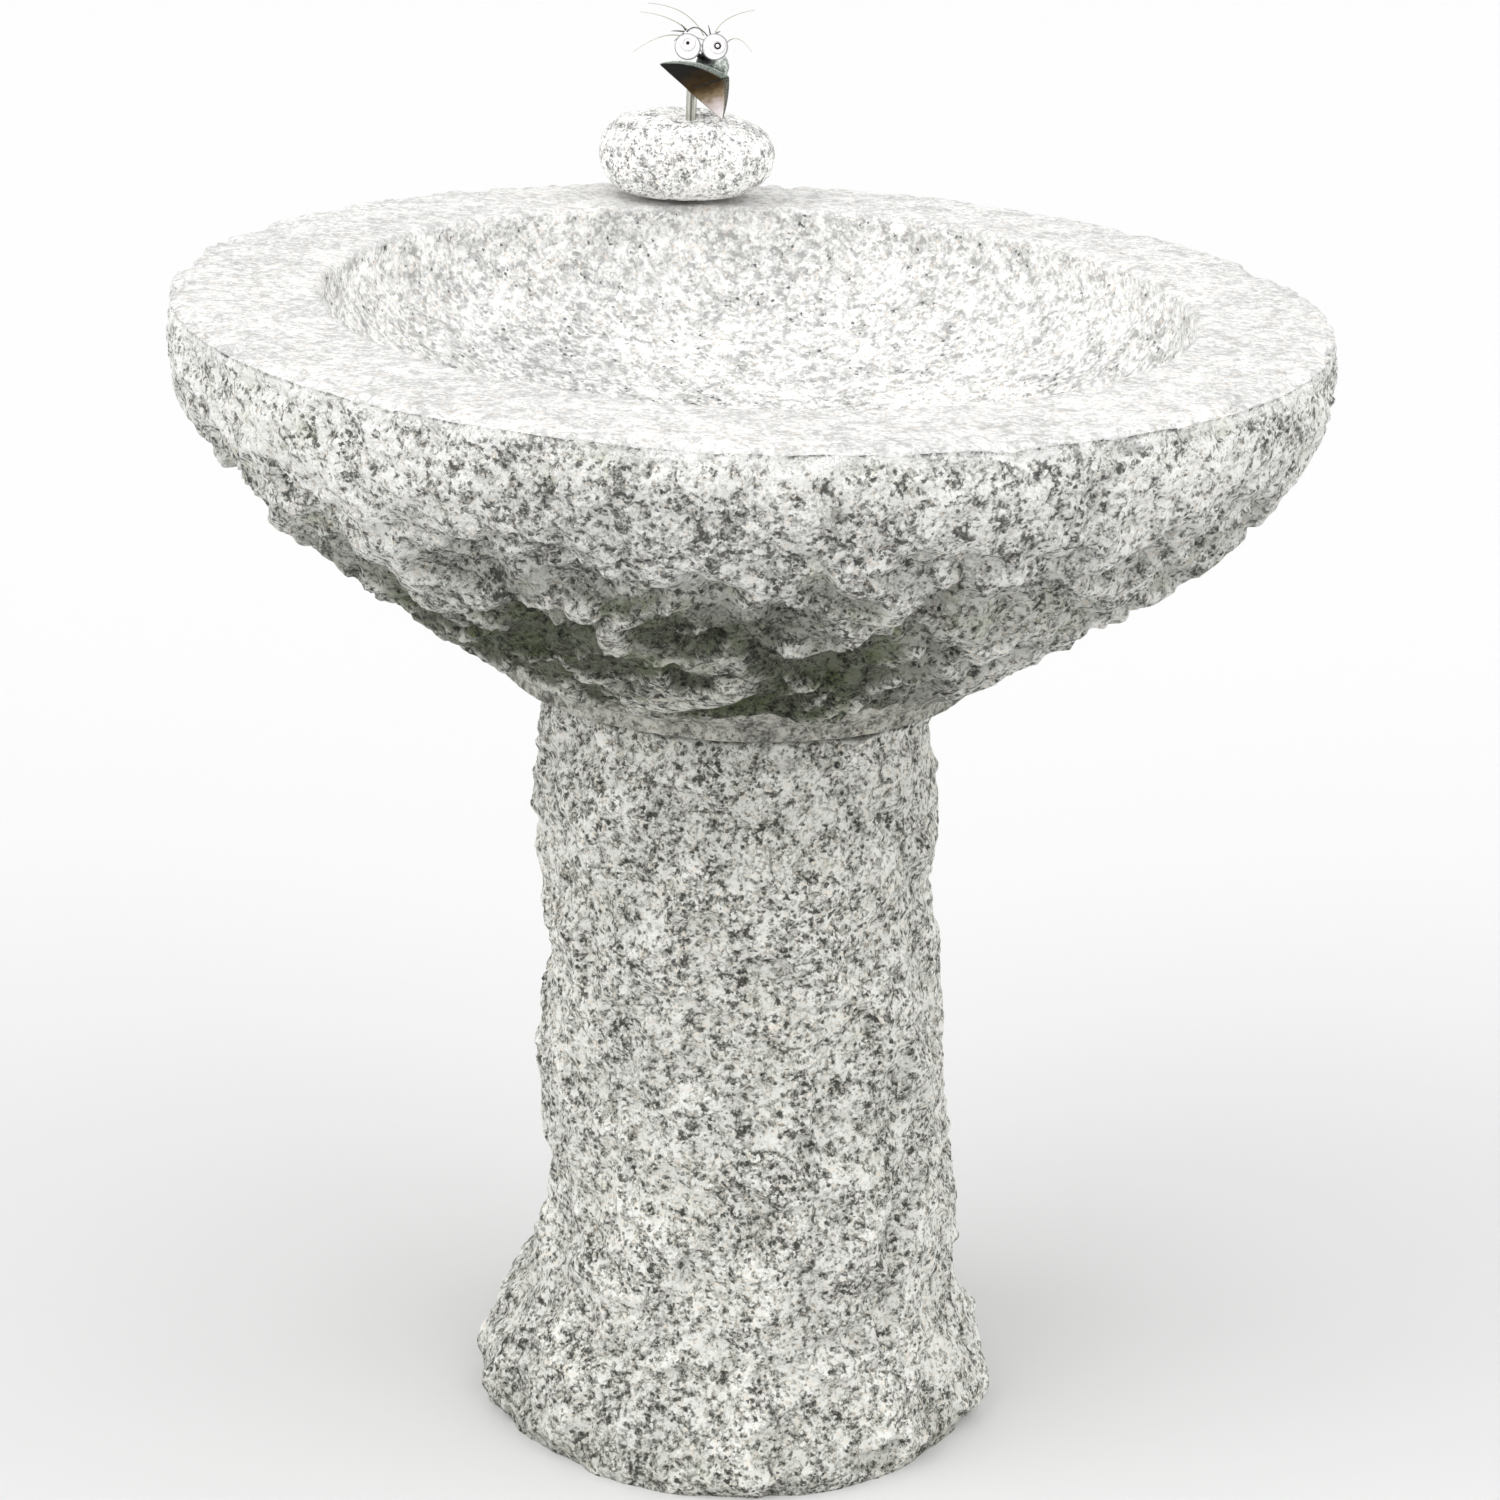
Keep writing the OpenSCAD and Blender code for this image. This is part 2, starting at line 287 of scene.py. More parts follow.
def basin_cuts(rock, p, marks, across, below):
    """How deep the basin is cut at each point, and four numbers of 0 to 1 for its colour.

    They are painted shade and dirt in a chip, painted shade and grime low on the belly, painted
    light on the upper belly near the rim, and a painted highlight along the rim's outer edge."""
    side = marks == SIDE
    warp = np.stack([rock.rough(p + s, 0.050, 3, 0.6) for s in (0.1, 0.4, 0.8)], axis=1)
    warped = p * np.array([1, 1, 1.25]) + 0.011 * warp
    big = rock.scoops(warped, 0.064, 0.45, (0, 0, 0.35), 22)
    middle = rock.scoops(warped + 0.31, 0.032, 0.55, (0, 0, 0.30), 20)
    small = rock.scoops(p + 0.006 * warp + 0.57, 0.0165, 0.55, (0, 0, 0.15), 14)
    fine = rock.scoops(p + 0.003 * warp + 0.77, 0.0090, 0.5, (0, 0, 0), 9)
    grain = rock.rough(p, 0.0070, 2, 0.7)
    deep = smooth(below + 0.012 * rock.lumps(p, 0.06), 0.045, 0.085)
    cut = (0.0120 * deep * np.clip(big, -0.1, 1.2)
           + 0.0090 * (0.18 + 0.82 * deep) * np.clip(middle, -0.1, 1.1)
           + 0.0056 * (0.42 + 0.58 * deep) * np.clip(small, -0.2, 1)
           + 0.0028 * np.clip(fine, -0.2, 1) + 0.0009 * (grain + 0.6)
           + 0.0030 * (1 - deep) * (rock.lumps(p, 0.040) + 0.6))
    cut = 0.0005 + 0.0018 * np.logaddexp(0, (cut - 0.0019 - 0.0058 * deep) / 0.0018)
    near_foot = smooth(p[:, 2] - FOOT_Z - FOOT_H, 0.0, 0.006)
    edge_fade = smooth(below, 0.000, 0.012)
    cut = np.where(side, cut * (0.25 + 0.75 * edge_fade) * (0.55 + 0.45 * near_foot), 0)
    hammered = (0.00035 * (rock.rough(p, 0.006, 2) + rock.lumps(p, 0.012))
                + 0.0006 * (1 + rock.lumps(p, 0.05)))
    cut = np.where(marks == RIM, hammered, cut)
    pits = (0.0011 * np.clip(rock.scoops(p, 0.016), 0, 1)
            + 0.0007 * np.clip(rock.scoops(p + 0.3, 0.008), 0, 1))
    dished = 1.2 * hammered + pits + 0.0008 * (1 + rock.lumps(p, 0.026))
    cut = np.where(marks == DISH_INSIDE, dished, cut)
    on_foot = (marks == FOOT) & (across > FOOT_R - 0.003)
    cut = np.where(on_foot, 0.0005 * (1 + rock.rough(p, 0.010, 2)), cut)

    # The belly's right and left sides, where the lamps light it: less painted shade, more painted
    # light
    right_side = smooth(p[:, 0] / BASIN_R, 0.10, 0.45)
    left_side = smooth(-p[:, 0] / BASIN_R, 0.30, 0.70)
    # Painted shade and dirt in the chips
    chipped = smooth(0.65 * big * deep + 0.6 * middle + 0.35 * small, 0.15, 1.1)
    # Darker low on the belly: painted shade under the belly, and grime
    low_down = smooth(below + 0.014 * rock.lumps(p, 0.05), 0.055, 0.150)
    # How far down the painted light on the upper belly reaches: further on the left and right
    light_reach = 0.034 + 0.110 * left_side + 0.050 * right_side
    shade_light_and_dirt = {
        "hollow": np.where(side, chipped, 0.25 * (1 + rock.lumps(p, 0.02))),
        "deep": np.where(side, low_down * (1 - 0.88 * right_side) * (1 - 0.40 * left_side), 0),
        "painted_light": np.where(side, 1 - smooth(below + 0.006 * rock.lumps(p, 0.03), 0, light_reach), 0),
        # A ragged painted highlight along the rim's outer edge
        "edge_light": np.where(side, 1 - smooth(below + 0.006 * rock.rough(p, 0.014, 2), 0.001, 0.011),
                         0),
    }
    return cut, shade_light_and_dirt


def carve_basin():
    """The basin, chipped inwards from its turned outline, with a hammered rim and dish."""
    r, z, mark = basin_profile()
    p = ring_points(r, z, BASIN_COUNT).reshape(-1, 3)
    normal = ring_points(*outward(r, z), BASIN_COUNT).reshape(-1, 3)
    marks = np.repeat(np.array(mark), BASIN_COUNT)
    across = np.hypot(p[:, 0], p[:, 1])
    below = RIM_Z - p[:, 2]
    rock = Rock(BASIN_SEED)
    cut, shade_light_and_dirt = basin_cuts(rock, p, marks, across, below)
    shaped = p - normal * cut[:, None]

    arris = (1 - smooth(below, 0.004, 0.014)) * smooth(across, BASIN_R - 0.016, BASIN_R - 0.010)
    rim_line = p * np.array([1, 1, 0])
    wide_chips = np.clip(rock.lumps(rim_line, 0.024), 0, 1)
    small_chips = np.clip(rock.lumps(rim_line, 0.009), 0, 1)
    inwards = arris * (0.0052 * wide_chips + 0.0046 * small_chips)
    shaped[:, 2] -= arris * (0.0034 * wide_chips + 0.0030 * small_chips)
    lip = smooth(below, -0.001, 0.002) * (1 - smooth(below, 0.02, 0.06)) * (across < LIP_R + 0.002)
    inwards = inwards - 0.0022 * lip * rock.lumps(rim_line, 0.026)
    shaped[:, :2] *= (1 - inwards / np.maximum(across, 0.01))[:, None]
    shifted = (marks == DISH_INSIDE) | (marks == RIM)
    shaped[:, 0] += LIP_SHIFT * (1 - smooth(across, LIP_R - 0.002, BASIN_R - 0.02)) * shifted

    # The bore and the dish are smaller across, so every other point is left out there
    kept = np.ones((len(r), BASIN_COUNT), bool)
    rows = []
    for i, row in enumerate(shaped.reshape(len(r), BASIN_COUNT, 3)):
        inside = mark[i] == DISH_INSIDE or i < BORE_ROWS
        kept[i, 1::2] = not inside
        rows.append(row[::2] if inside else row)
    piece = turned_mesh("basin_stone", rows, mark)
    # Painted shade, painted light and dirt for the rough granite to read
    for name, values in shade_light_and_dirt.items():
        paint(piece, name, values[kept.reshape(-1)])
    return piece


def column_axis(height):
    """How far the rough column's middle stands to the +X side at a height, and its outer radius."""
    fall = TOP_Z - height
    lean = 0.0025 + 0.0165 * smooth(fall, 0.10, 0.30) - 0.0065 * smooth(0.10 - height, 0.0, 0.09)
    shaft = 0.1070 + 0.0050 * smooth(fall, 0.0, 0.05) + 0.0060 * smooth(fall, 0.13, 0.26)
    root = 0.0080 * (1 - smooth(height, 0.045, 0.125)) + 0.0212 * (1 - smooth(height, 0.012, 0.080))
    return lean, shaft + root


# Swells on the column's sides: angle in degrees, then height, half height and swell in metres
SWELLS = [(180, 0.270, 0.028, -0.0065), (180, 0.370, 0.030, 0.0020), (180, 0.205, 0.016, 0.0025),
          (0, 0.312, 0.016, -0.0040), (0, 0.252, 0.024, 0.0040), (0, 0.130, 0.014, 0.0030),
          (-60, 0.300, 0.030, 0.0030), (-100, 0.210, 0.030, -0.0035), (-75, 0.110, 0.026, 0.0040),
          (60, 0.340, 0.030, 0.0035), (110, 0.180, 0.035, -0.0040), (130, 0.300, 0.024, 0.0035)]


def swell(points):
    """How far the column's side swells out at each point, from SWELLS."""
    total = np.zeros(len(points))
    angle = np.arctan2(points[:, 1], points[:, 0])
    for degrees, height, half, amount in SWELLS:
        turn = np.cos(angle - math.radians(degrees))
        total += amount * np.exp(-((points[:, 2] - height) / half) ** 2) * np.exp((turn - 1) * 5)
    return total


def carve_pedestal():
    """The pedestal: a leaning, chipped column between two sawn ends."""
    heights = np.concatenate([np.zeros(END_ROWS), np.linspace(0.0, TOP_Z, PEDESTAL_ROWS),
                              np.full(END_ROWS, TOP_Z)])
    lean, radius = column_axis(heights)
    radius *= 0.962 + 0.038 * smooth(heights, 0.0, 0.012)
    reach = np.ones(len(heights))
    reach[:END_ROWS] = np.linspace(0.02, 0.98, END_ROWS)
    reach[-END_ROWS:] = np.linspace(0.985, 0.075, END_ROWS)
    parts = [0] * END_ROWS + [1] * PEDESTAL_ROWS + [0] * END_ROWS
    rings = ring_points(radius, heights, PEDESTAL_COUNT)
    p = rings.reshape(-1, 3)
    z = p[:, 2]
    across = np.hypot(p[:, 0], p[:, 1])
    rock = Rock(PEDESTAL_SEED)
    warp = np.stack([rock.rough(p + s, 0.045, 2) for s in (0.2, 0.5, 0.9)], axis=1)
    warped = p * np.array([1, 1, 0.9]) + 0.008 * warp
    big = rock.scoops(warped, 0.046, 0.35, (0, 0, 0.15), 14)
    middle = rock.scoops(warped + 0.21, 0.025, 0.45, (0, 0, 0.2), 14)
    small = rock.scoops(p + 0.003 * warp + 0.43, 0.0130, 0.45, (0, 0, 0.1), 10)
    grain = rock.rough(p, 0.0065, 2, 0.7)
    near_sole = 1 - smooth(z, 0.0, 0.040)
    cut = (0.0062 * np.clip(big, -0.1, 1.2) + 0.0052 * np.clip(middle, -0.1, 1.1)
           + 0.0030 * np.clip(small, -0.2, 1) + 0.0008 * (grain + 0.5)
           + 0.0038 * (1 + rock.lumps(p, 0.085)) + 0.0024 * rock.lumps(p, 0.034)
           + 0.0022 * near_sole * np.clip(middle + rock.lumps(p, 0.05), 0, 1.3)) - 0.0048
    cut = 0.0014 * np.logaddexp(0, (cut + 0.0040) / 0.0014) - 0.0040
    cut = cut * (0.45 + 0.55 * smooth(z, 0.0, 0.024)) - swell(p)
    top_fade = 1 - 0.5 * smooth(z, TOP_Z - 0.010, TOP_Z)
    outward_way = np.stack([p[:, 0] / across, p[:, 1] / across, np.zeros(len(p))], axis=1)
    shaped = p - outward_way * (cut * top_fade)[:, None]
    shaped[:, :2] *= np.repeat(reach, PEDESTAL_COUNT)[:, None]
    shift = lean * np.where(heights > TOP_Z - 1e-6, reach ** 2, 1)
    shaped[:, 0] += np.repeat(shift, PEDESTAL_COUNT)
    piece = turned_mesh("pedestal_stone", shaped.reshape(rings.shape), parts)
    # A painted shadow of the basin's foot on the column just below its top, strongest at the front
    under_foot = smooth(z + 0.0008 * rock.lumps(p, 0.02), TOP_Z - 0.0100, TOP_Z - 0.0066)
    # Painted shade and dirt in the column's chips
    paint(piece, "hollow", smooth(0.45 * big + 0.55 * middle + 0.35 * small, 0.15, 1.05))
    # Darker towards the sole
    paint(piece, "deep", 0.35 * near_sole)
    paint(piece, "foot_shadow", under_foot * (0.3 + 0.7 * smooth(-p[:, 1] / across, 0.3, 0.8)))
    return piece


def carve_boulder():
    """The boulder: a long rounded pebble, fuller below at its front, dimpled round the neck."""
    low, high = BOULDER_LOW, BOULDER_HIGH
    middle = 0.5 * (low + high)
    half = 0.5 * (high - low)
    polar = np.pi * (1 - np.arange(BOULDER_ROWS) / (BOULDER_ROWS - 1))
    sine, cosine = np.sin(polar)[:, None], np.cos(polar)[:, None]
    angle = 2 * np.pi * np.arange(BOULDER_COUNT) / BOULDER_COUNT
    front = np.clip(-np.sin(angle), 0, 1)[None] ** 2
    fullness = np.where((polar > np.pi / 2)[:, None], 2.4 + 1.8 * front, 2.3)
    edge = (half[1] + 0.0006) * np.maximum(sine, 0.002) ** (2 / fullness)
    height = (half[2] + 0.0014) * np.sign(cosine) * np.abs(cosine) ** (2 / fullness)
    stretch = (half[0] - half[1]) * smooth(sine, 0.0, 0.7)
    x = edge * np.cos(angle)[None] + stretch * np.sin(0.5 * np.pi * np.cos(angle))[None]
    y = edge * np.sin(angle)[None]
    z = height + 0.0010 - 0.0030 * smooth(x, 0.0, 0.045) * smooth(height, 0.0, 0.020)
    rock = Rock(BOULDER_SEED)
    p = np.stack([x, y, z], axis=-1).reshape(-1, 3)
    away = p / np.linalg.norm(p, axis=1)[:, None]
    cut = (0.0016 * (0.7 + rock.lumps(p, 0.045)) + 0.0005 * (0.6 + rock.lumps(p, 0.013))
           + 0.0003 * rock.rough(p, 0.004, 2) + 0.0005 * np.clip(rock.scoops(p, 0.010), 0, 1))
    shaped = middle + p - away * cut[:, None]
    from_neck = np.hypot(shaped[:, 0] - NECK[0], shaped[:, 1] - NECK[1])
    shaped[:, 2] -= np.where(p[:, 2] > 0, 0.0038 * np.exp(-(from_neck / 0.011) ** 2), 0)
    shaped[:, 2] = np.clip(shaped[:, 2], low[2], high[2])
    rings = shaped.reshape(BOULDER_ROWS, BOULDER_COUNT, 3)
    return turned_mesh("boulder_stone", rings, [0] * BOULDER_ROWS)


# ---------------------------------------------------------------- materials
class Graph:
    """Short calls for building a material's or a world's nodes."""

    def __init__(self, tree):
        self.tree = tree

    def put(self, node, inputs):
        """Sets a node's inputs: to numbers, to colours, or to other nodes' outputs."""
        for key, value in inputs.items():
            socket = node.inputs[key]
            if isinstance(value, bpy.types.NodeSocket):
                self.tree.links.new(value, socket)
            else:
                socket.default_value = (*value, 1) if socket.type == "RGBA" else value

    def node(self, kind, inputs, **settings):
        """A new shader node with its inputs and settings."""
        node = self.tree.nodes.new("ShaderNode" + kind)
        for key, value in settings.items():
            setattr(node, key, value)
        self.put(node, inputs)
        return node

    def place(self, space="Object"):
        return self.node("TexCoord", {}).outputs[space]

    def noise(self, place, scale, detail=2.0, roughness=0.5, output="Fac"):
        return self.node("TexNoise", {"Vector": place, "Scale": scale, "Detail": detail,
                                      "Roughness": roughness}).outputs[output]

    def cells(self, place, scale):
        """Three random numbers for each crystal."""
        colour = self.node("TexVoronoi", {"Vector": place, "Scale": scale}).outputs["Color"]
        return self.node("SeparateColor", {0: colour}).outputs

    def shift(self, place, noise, amount):
        """The place, pushed about by a colour noise."""
        way = self.node("VectorMath", {0: noise, 1: (0.5, 0.5, 0.5)}, operation="SUBTRACT")
        push = self.node("VectorMath", {0: way.outputs[0], "Scale": amount}, operation="SCALE")
        return self.node("VectorMath", {0: place, 1: push.outputs[0]}, operation="ADD").outputs[0]

    def maths(self, operation, a, b, clamp=False):
        return self.node("Math", {0: a, 1: b}, operation=operation, use_clamp=clamp).outputs[0]

    def times(self, a, b, clamp=False):
        return self.maths("MULTIPLY", a, b, clamp)

    def plus(self, a, b):
        return self.maths("ADD", a, b)

    def ramp(self, value, stops):
        """Colours along a value, from stops of (position, colour)."""
        node = self.node("ValToRGB", {"Fac": value})
        elements = node.color_ramp.elements
        while len(elements) < len(stops):
            elements.new(0.5)
        for element, (position, colour) in zip(elements, stops):
            element.position = position
            element.color = (*colour, 1)
        return node.outputs["Color"]

    def grey(self, value, low, high, dark=0.0, light=1.0):
        """Maps low..high of a value onto dark..light, with a smooth step."""
        limits = {"Value": value, "From Min": low, "From Max": high, "To Min": dark,
                  "To Max": light}
        return self.node("MapRange", limits, interpolation_type="SMOOTHSTEP").outputs["Result"]

    def mix(self, a, b, amount, blend="MIX"):
        """Colour b laid over colour a; the node's colours are its inputs 6 and 7 and output 2."""
        return self.node("Mix", {0: amount, 6: a, 7: b}, data_type="RGBA",
                         blend_type=blend).outputs[2]

    def field(self, name):
        """A number painted on the piece's vertices, or 0 where it has none."""
        return self.node("Attribute", {}, attribute_name=name).outputs["Fac"]

    def bump(self, height, distance, **under):
        """Relief of the given height in metres, over another relief given as Normal."""
        return self.node("Bump", {"Height": height, "Distance": distance, "Strength": 1.0,
                                  **under}).outputs["Normal"]


def new_material(name):
    """A material with one Principled shader, the graph of its nodes, and that shader."""
    material = bpy.data.materials.new(name)
    material.use_nodes = True
    g = Graph(material.node_tree)
    g.tree.nodes.clear()
    shader = g.node("BsdfPrincipled", {})
    g.node("OutputMaterial", {"Surface": shader.outputs["BSDF"]})
    return material, g, shader


# Grain sizes of the granite as noise scales, and how much each counts in its pattern
CRYSTALS, FINE_CRYSTALS, BLACK_CRYSTALS = 400, 880, 560
FINE_SHARE, SOFT_SHARE, CLUMP_SHARE, PATCH_SHARE, CLOUD_SHARE = 0.20, 0.80, 1.12, 0.60, 0.15
COARSE_SHARE = 0.42
PATTERN_OFFSET = 1.235
MICA = (0.050, 0.052, 0.052)
# Laid into the chips: painted shade, greenish like reflected light, and dirt
HOLLOW_SHADE_AND_DIRT = (0.21, 0.225, 0.18)
# Laid in low down: painted shade and grime
LOW_SHADE_AND_GRIME = (0.84, 0.85, 0.80)
MOSS = (0.62, 0.70, 0.46)
# Colour of the painted shadow under the basin's foot
FOOT_SHADOW = (0.15, 0.155, 0.13)
# Tone of the painted highlight along the rim's outer edge
EDGE_LIGHT = (0.95, 0.95, 0.93)
# Gain of the painted light on the upper belly
LIGHT_GAIN = (1.55, 1.55, 1.55)


def weathered(g, stone, place, patches, fine, shade_and_dirt, moss):
    """The stone's colour with painted shade and dirt in its hollows, painted light on the upper
    belly and along the rim's edge, painted shade and grime low down, a painted shadow under the
    basin's foot, and green patches.
    """
    deep = g.field("deep")
    uneven = g.times(g.plus(patches, -0.5), 1.1)
    ruffled = g.plus(g.field("hollow"), uneven)
    # Painted shade and dirt in the chips, stronger low down
    shade_and_stain = g.times(g.grey(ruffled, 0.10, 0.85), g.plus(deep, 0.22), clamp=True)
    stone = g.mix(stone, HOLLOW_SHADE_AND_DIRT, g.times(shade_and_stain, shade_and_dirt, clamp=True), "MULTIPLY")
    # Painted light on the upper belly near the rim, in patches
    lit_stone = g.mix(g.mix(stone, LIGHT_GAIN, 1.0, "MULTIPLY"), (1, 1, 0.98), 1.0, "DARKEN")
    painted_light = g.times(g.field("painted_light"), g.grey(patches, 0.3, 0.6, 0.5, 1.0))
    stone = g.mix(stone, lit_stone, painted_light)
    # Painted highlight along the rim's outer edge
    edge_light = g.times(g.field("edge_light"), g.grey(fine, 0.10, 0.60, 0.45, 0.95))
    stone = g.mix(stone, EDGE_LIGHT, edge_light)
    # Painted shade and grime low down
    low_shaded = g.mix(stone, LOW_SHADE_AND_GRIME, 1.0, "MULTIPLY")
    stone = g.mix(stone, low_shaded, g.times(deep, shade_and_dirt, clamp=True))
    # Painted shadow under the basin's foot
    stone = g.mix(stone, FOOT_SHADOW, g.field("foot_shadow"), "MULTIPLY")
    green = g.mix(stone, MOSS, 1.0, "MULTIPLY")
    patch = g.grey(g.noise(place, 26, 4.0, 0.7), 0.50, 0.64)
    growth = g.times(g.times(patch, shade_and_stain), moss, clamp=True)
    return g.mix(stone, green, growth)


def granite(name, light=1.0, contrast=1.0, blacks=0.03, shade_and_dirt=0.0, relief=1.0, mottle=0.25,
            grain=1.0, moss=0.0, yellow=0.0):
    """Light grey granite: pale feldspar, grey quartz and dark mica crystals.

    With its weathering and moss above 0, the numbers painted on the piece lay painted shade and
    dirt into its hollows, painted shade and grime low down, a painted shadow under the basin's
    foot, painted light on the upper belly and along the rim's edge, and moss."""
    material, g, shader = new_material(name)
    place = g.place()

    def tone(value):
        value = min(0.97, light * (0.56 + (value - 0.56) * contrast))
        tint = (1.0, 0.998, 0.980 - yellow * (1.75 - 1.35 * value))
        return tuple(max(0.03, value * w) for w in tint)

    wander = g.noise(place, 620 * grain, 3.0, 0.65, "Color")
    coarse, pick = g.cells(g.shift(place, wander, 0.0028 / grain), CRYSTALS * grain)[:2]
    fine = g.cells(g.shift(place, wander, 0.0016 / grain), FINE_CRYSTALS * grain)[0]
    mica = g.cells(g.shift(place, wander, 0.0030 / grain), BLACK_CRYSTALS * grain)[2]
    patches = g.noise(place, 58, 4.0, 0.62)
    clouds = g.noise(place, 13, 2.0, 0.5)
    soft = g.noise(place, 520 * grain, 4.0, 0.72)
    clumps = g.noise(place, 170, 3.0, 0.6)
    key = g.times(coarse, COARSE_SHARE)
    for part, share in ((fine, FINE_SHARE), (soft, SOFT_SHARE), (clumps, CLUMP_SHARE),
                        (patches, PATCH_SHARE), (clouds, CLOUD_SHARE)):
        key = g.plus(key, g.times(part, share))
    key = g.plus(key, -PATTERN_OFFSET)
    stone = g.ramp(key, [(0.06, tone(0.09)), (0.16, tone(0.16)), (0.25, tone(0.32)),
                         (0.31, tone(0.46)), (0.40, tone(0.58)), (0.47, tone(0.74)),
                         (0.56, tone(0.87)), (0.70, tone(0.97))])
    rosy = g.plus(pick, g.times(clouds, 0.4))
    stone = g.mix(stone, (1.0, 0.90, 0.81), g.grey(rosy, 1.06, 1.14, 0.0, 0.55), "MULTIPLY")
    uneven = g.times(g.plus(patches, -0.5), 0.3)
    black = g.grey(g.plus(mica, uneven), blacks * 0.7, blacks * 1.3, 1.0, 0.0)
    stone = g.mix(stone, MICA, g.times(black, 0.85))
    broad_tone = g.plus(g.times(patches, 0.6), g.times(clouds, 0.4))
    stone = g.mix(stone, g.grey(broad_tone, 0.36, 0.64, 1.0 - mottle, 1.0), 1.0, "MULTIPLY")
    # Painted shade, painted light, a painted shadow, dirt and moss from the piece's numbers
    if shade_and_dirt:
        stone = weathered(g, stone, place, patches, fine, shade_and_dirt, moss)
    pits = g.plus(g.noise(place, 330 * grain, 5.0, 0.70), g.times(coarse, 0.30))
    waves = g.bump(g.noise(place, 120, 4.0, 0.6), 0.0028 * relief)
    g.put(shader, {"Base Color": stone, "Roughness": g.grey(fine, 0.2, 0.9, 0.90, 0.66),
                   "Specular IOR Level": 0.3,
                   "Normal": g.bump(pits, 0.0014 * relief, Normal=waves)})
    return material


def metal(name, stops, rough, stretch=(1, 1, 1), scale=700, metallic=1.0, relief=0.0001,
          marked=(0.05, 0.05, 0.05)):
    """Steel: tones from dark to light over grinding lines and clouds, with uneven gloss.

    It takes the marked colour where the piece is painted with it."""
    material, g, shader = new_material(name)
    place = g.place()
    drawn = g.node("Mapping", {"Vector": place, "Scale": stretch}).outputs["Vector"]
    lines = g.noise(drawn, scale, 4.0, 0.7)
    clouds = g.noise(place, 170, 3.0, 0.6)
    mixed = g.plus(g.times(lines, 0.6), g.times(clouds, 0.4))
    tones = [(0.36 + 0.28 * i / (len(stops) - 1), tone) for i, tone in enumerate(stops)]
    g.put(shader, {"Base Color": g.mix(g.ramp(mixed, tones), marked, g.field("marked")),
                   "Metallic": metallic, "Normal": g.bump(mixed, relief),
                   "Roughness": g.grey(mixed, 0.35, 0.65, rough + 0.10, rough - 0.04)})
    return material


def heated_metal(name, stops, hem, rough, metallic):
    """Steel sheet whose colours run from its fold to its tip: heat tints with painted shade and
    painted light laid over them, and a hem band of other tones.

    Stops are its colours on the way, and hem is the three tones of the hem."""
    material, g, shader = new_material(name)
    place = g.place()
    clouds = g.noise(place, 200, 3.0, 0.6)
    fine = g.noise(place, 1300, 3.0, 0.6)
    uneven = g.times(g.plus(clouds, -0.5), 0.45)
    # Heat tints with painted shade and light, from fold to tip
    tone = g.ramp(g.plus(g.field("heat_tint_and_shade"), uneven), stops)
    hem_tone = g.ramp(fine, list(zip((0.38, 0.5, 0.62), hem)))
    tone = g.mix(tone, hem_tone, g.field("marked"))
    tone = g.mix(tone, g.grey(fine, 0.3, 0.7, 0.80, 1.0), 1.0, "MULTIPLY")
    g.put(shader, {"Base Color": tone, "Metallic": metallic, "Specular IOR Level": 0.15,
                   "Roughness": g.grey(fine, 0.3, 0.7, rough, rough + 0.12),
                   "Normal": g.bump(g.plus(clouds, fine), 0.00008)})
    return material


HAMMERED = granite("hammered_granite", light=1.13, contrast=0.34, blacks=0.0, relief=0.35,
                   mottle=0.05, grain=1.2)
DISH = granite("dish_granite", light=1.295, contrast=0.50, blacks=0.004, relief=0.9, mottle=0.12,
               grain=1.1)
ROUGH = granite("rough_granite", light=1.09, contrast=1.0, blacks=0.03, shade_and_dirt=1.0, relief=1.9,
                mottle=0.14, moss=1.0, grain=1.1, yellow=0.035)
# Its weathering paints shade into the column's chips, with some dirt
COLUMN = granite("column_granite", light=1.12, contrast=1.06, blacks=0.024, shade_and_dirt=0.60, relief=1.7,
                 mottle=0.14, grain=1.14, yellow=0.065, moss=0.3)
# The foot's sawn face, at about half the other granites' tone: painted shade under the belly
SHADED_SAWN = granite("shaded_sawn_granite", light=0.52, contrast=0.8, blacks=0.02, relief=0.15, mottle=0.36,
               grain=1.2, yellow=0.07)
PEBBLE = granite("pebble_granite", light=1.14, contrast=0.90, blacks=0.012, relief=0.40,
                 mottle=0.03, grain=1.75)
# Its marked colour is painted shade on the eye washers' rims and groove, and the brow strip's
# darker edges
BRIGHT = metal("bright_steel", [(0.72, 0.72, 0.72), (0.94, 0.94, 0.94), (1.0, 1.0, 1.0)], 0.28,
               relief=0.00006, metallic=0.25, marked=(0.30, 0.30, 0.31))
# Its marked colour is painted shade on the nuts' rims and hole edges
RING = metal("ring_steel", [(0.80, 0.74, 0.77), (0.92, 0.87, 0.90), (1.0, 0.97, 0.98)], 0.30,
             metallic=0.25, marked=(0.26, 0.22, 0.24))
# Streaky tones up the tube: drawn lines and painted reflection streaks
TUBE = metal("tube_steel", [(0.36, 0.36, 0.31), (0.56, 0.56, 0.50), (0.72, 0.72, 0.67)], 0.26,
             stretch=(1, 1, 0.04), scale=330, marked=(0.055, 0.055, 0.04))
# Its marked colour is the painted shade between the eyes
SKULL = metal("weld_steel", [(0.10, 0.12, 0.105), (0.24, 0.27, 0.245), (0.48, 0.52, 0.49),
                             (0.80, 0.82, 0.79)], 0.38,
              scale=480, metallic=0.7, relief=0.0007, marked=(0.012, 0.013, 0.012))
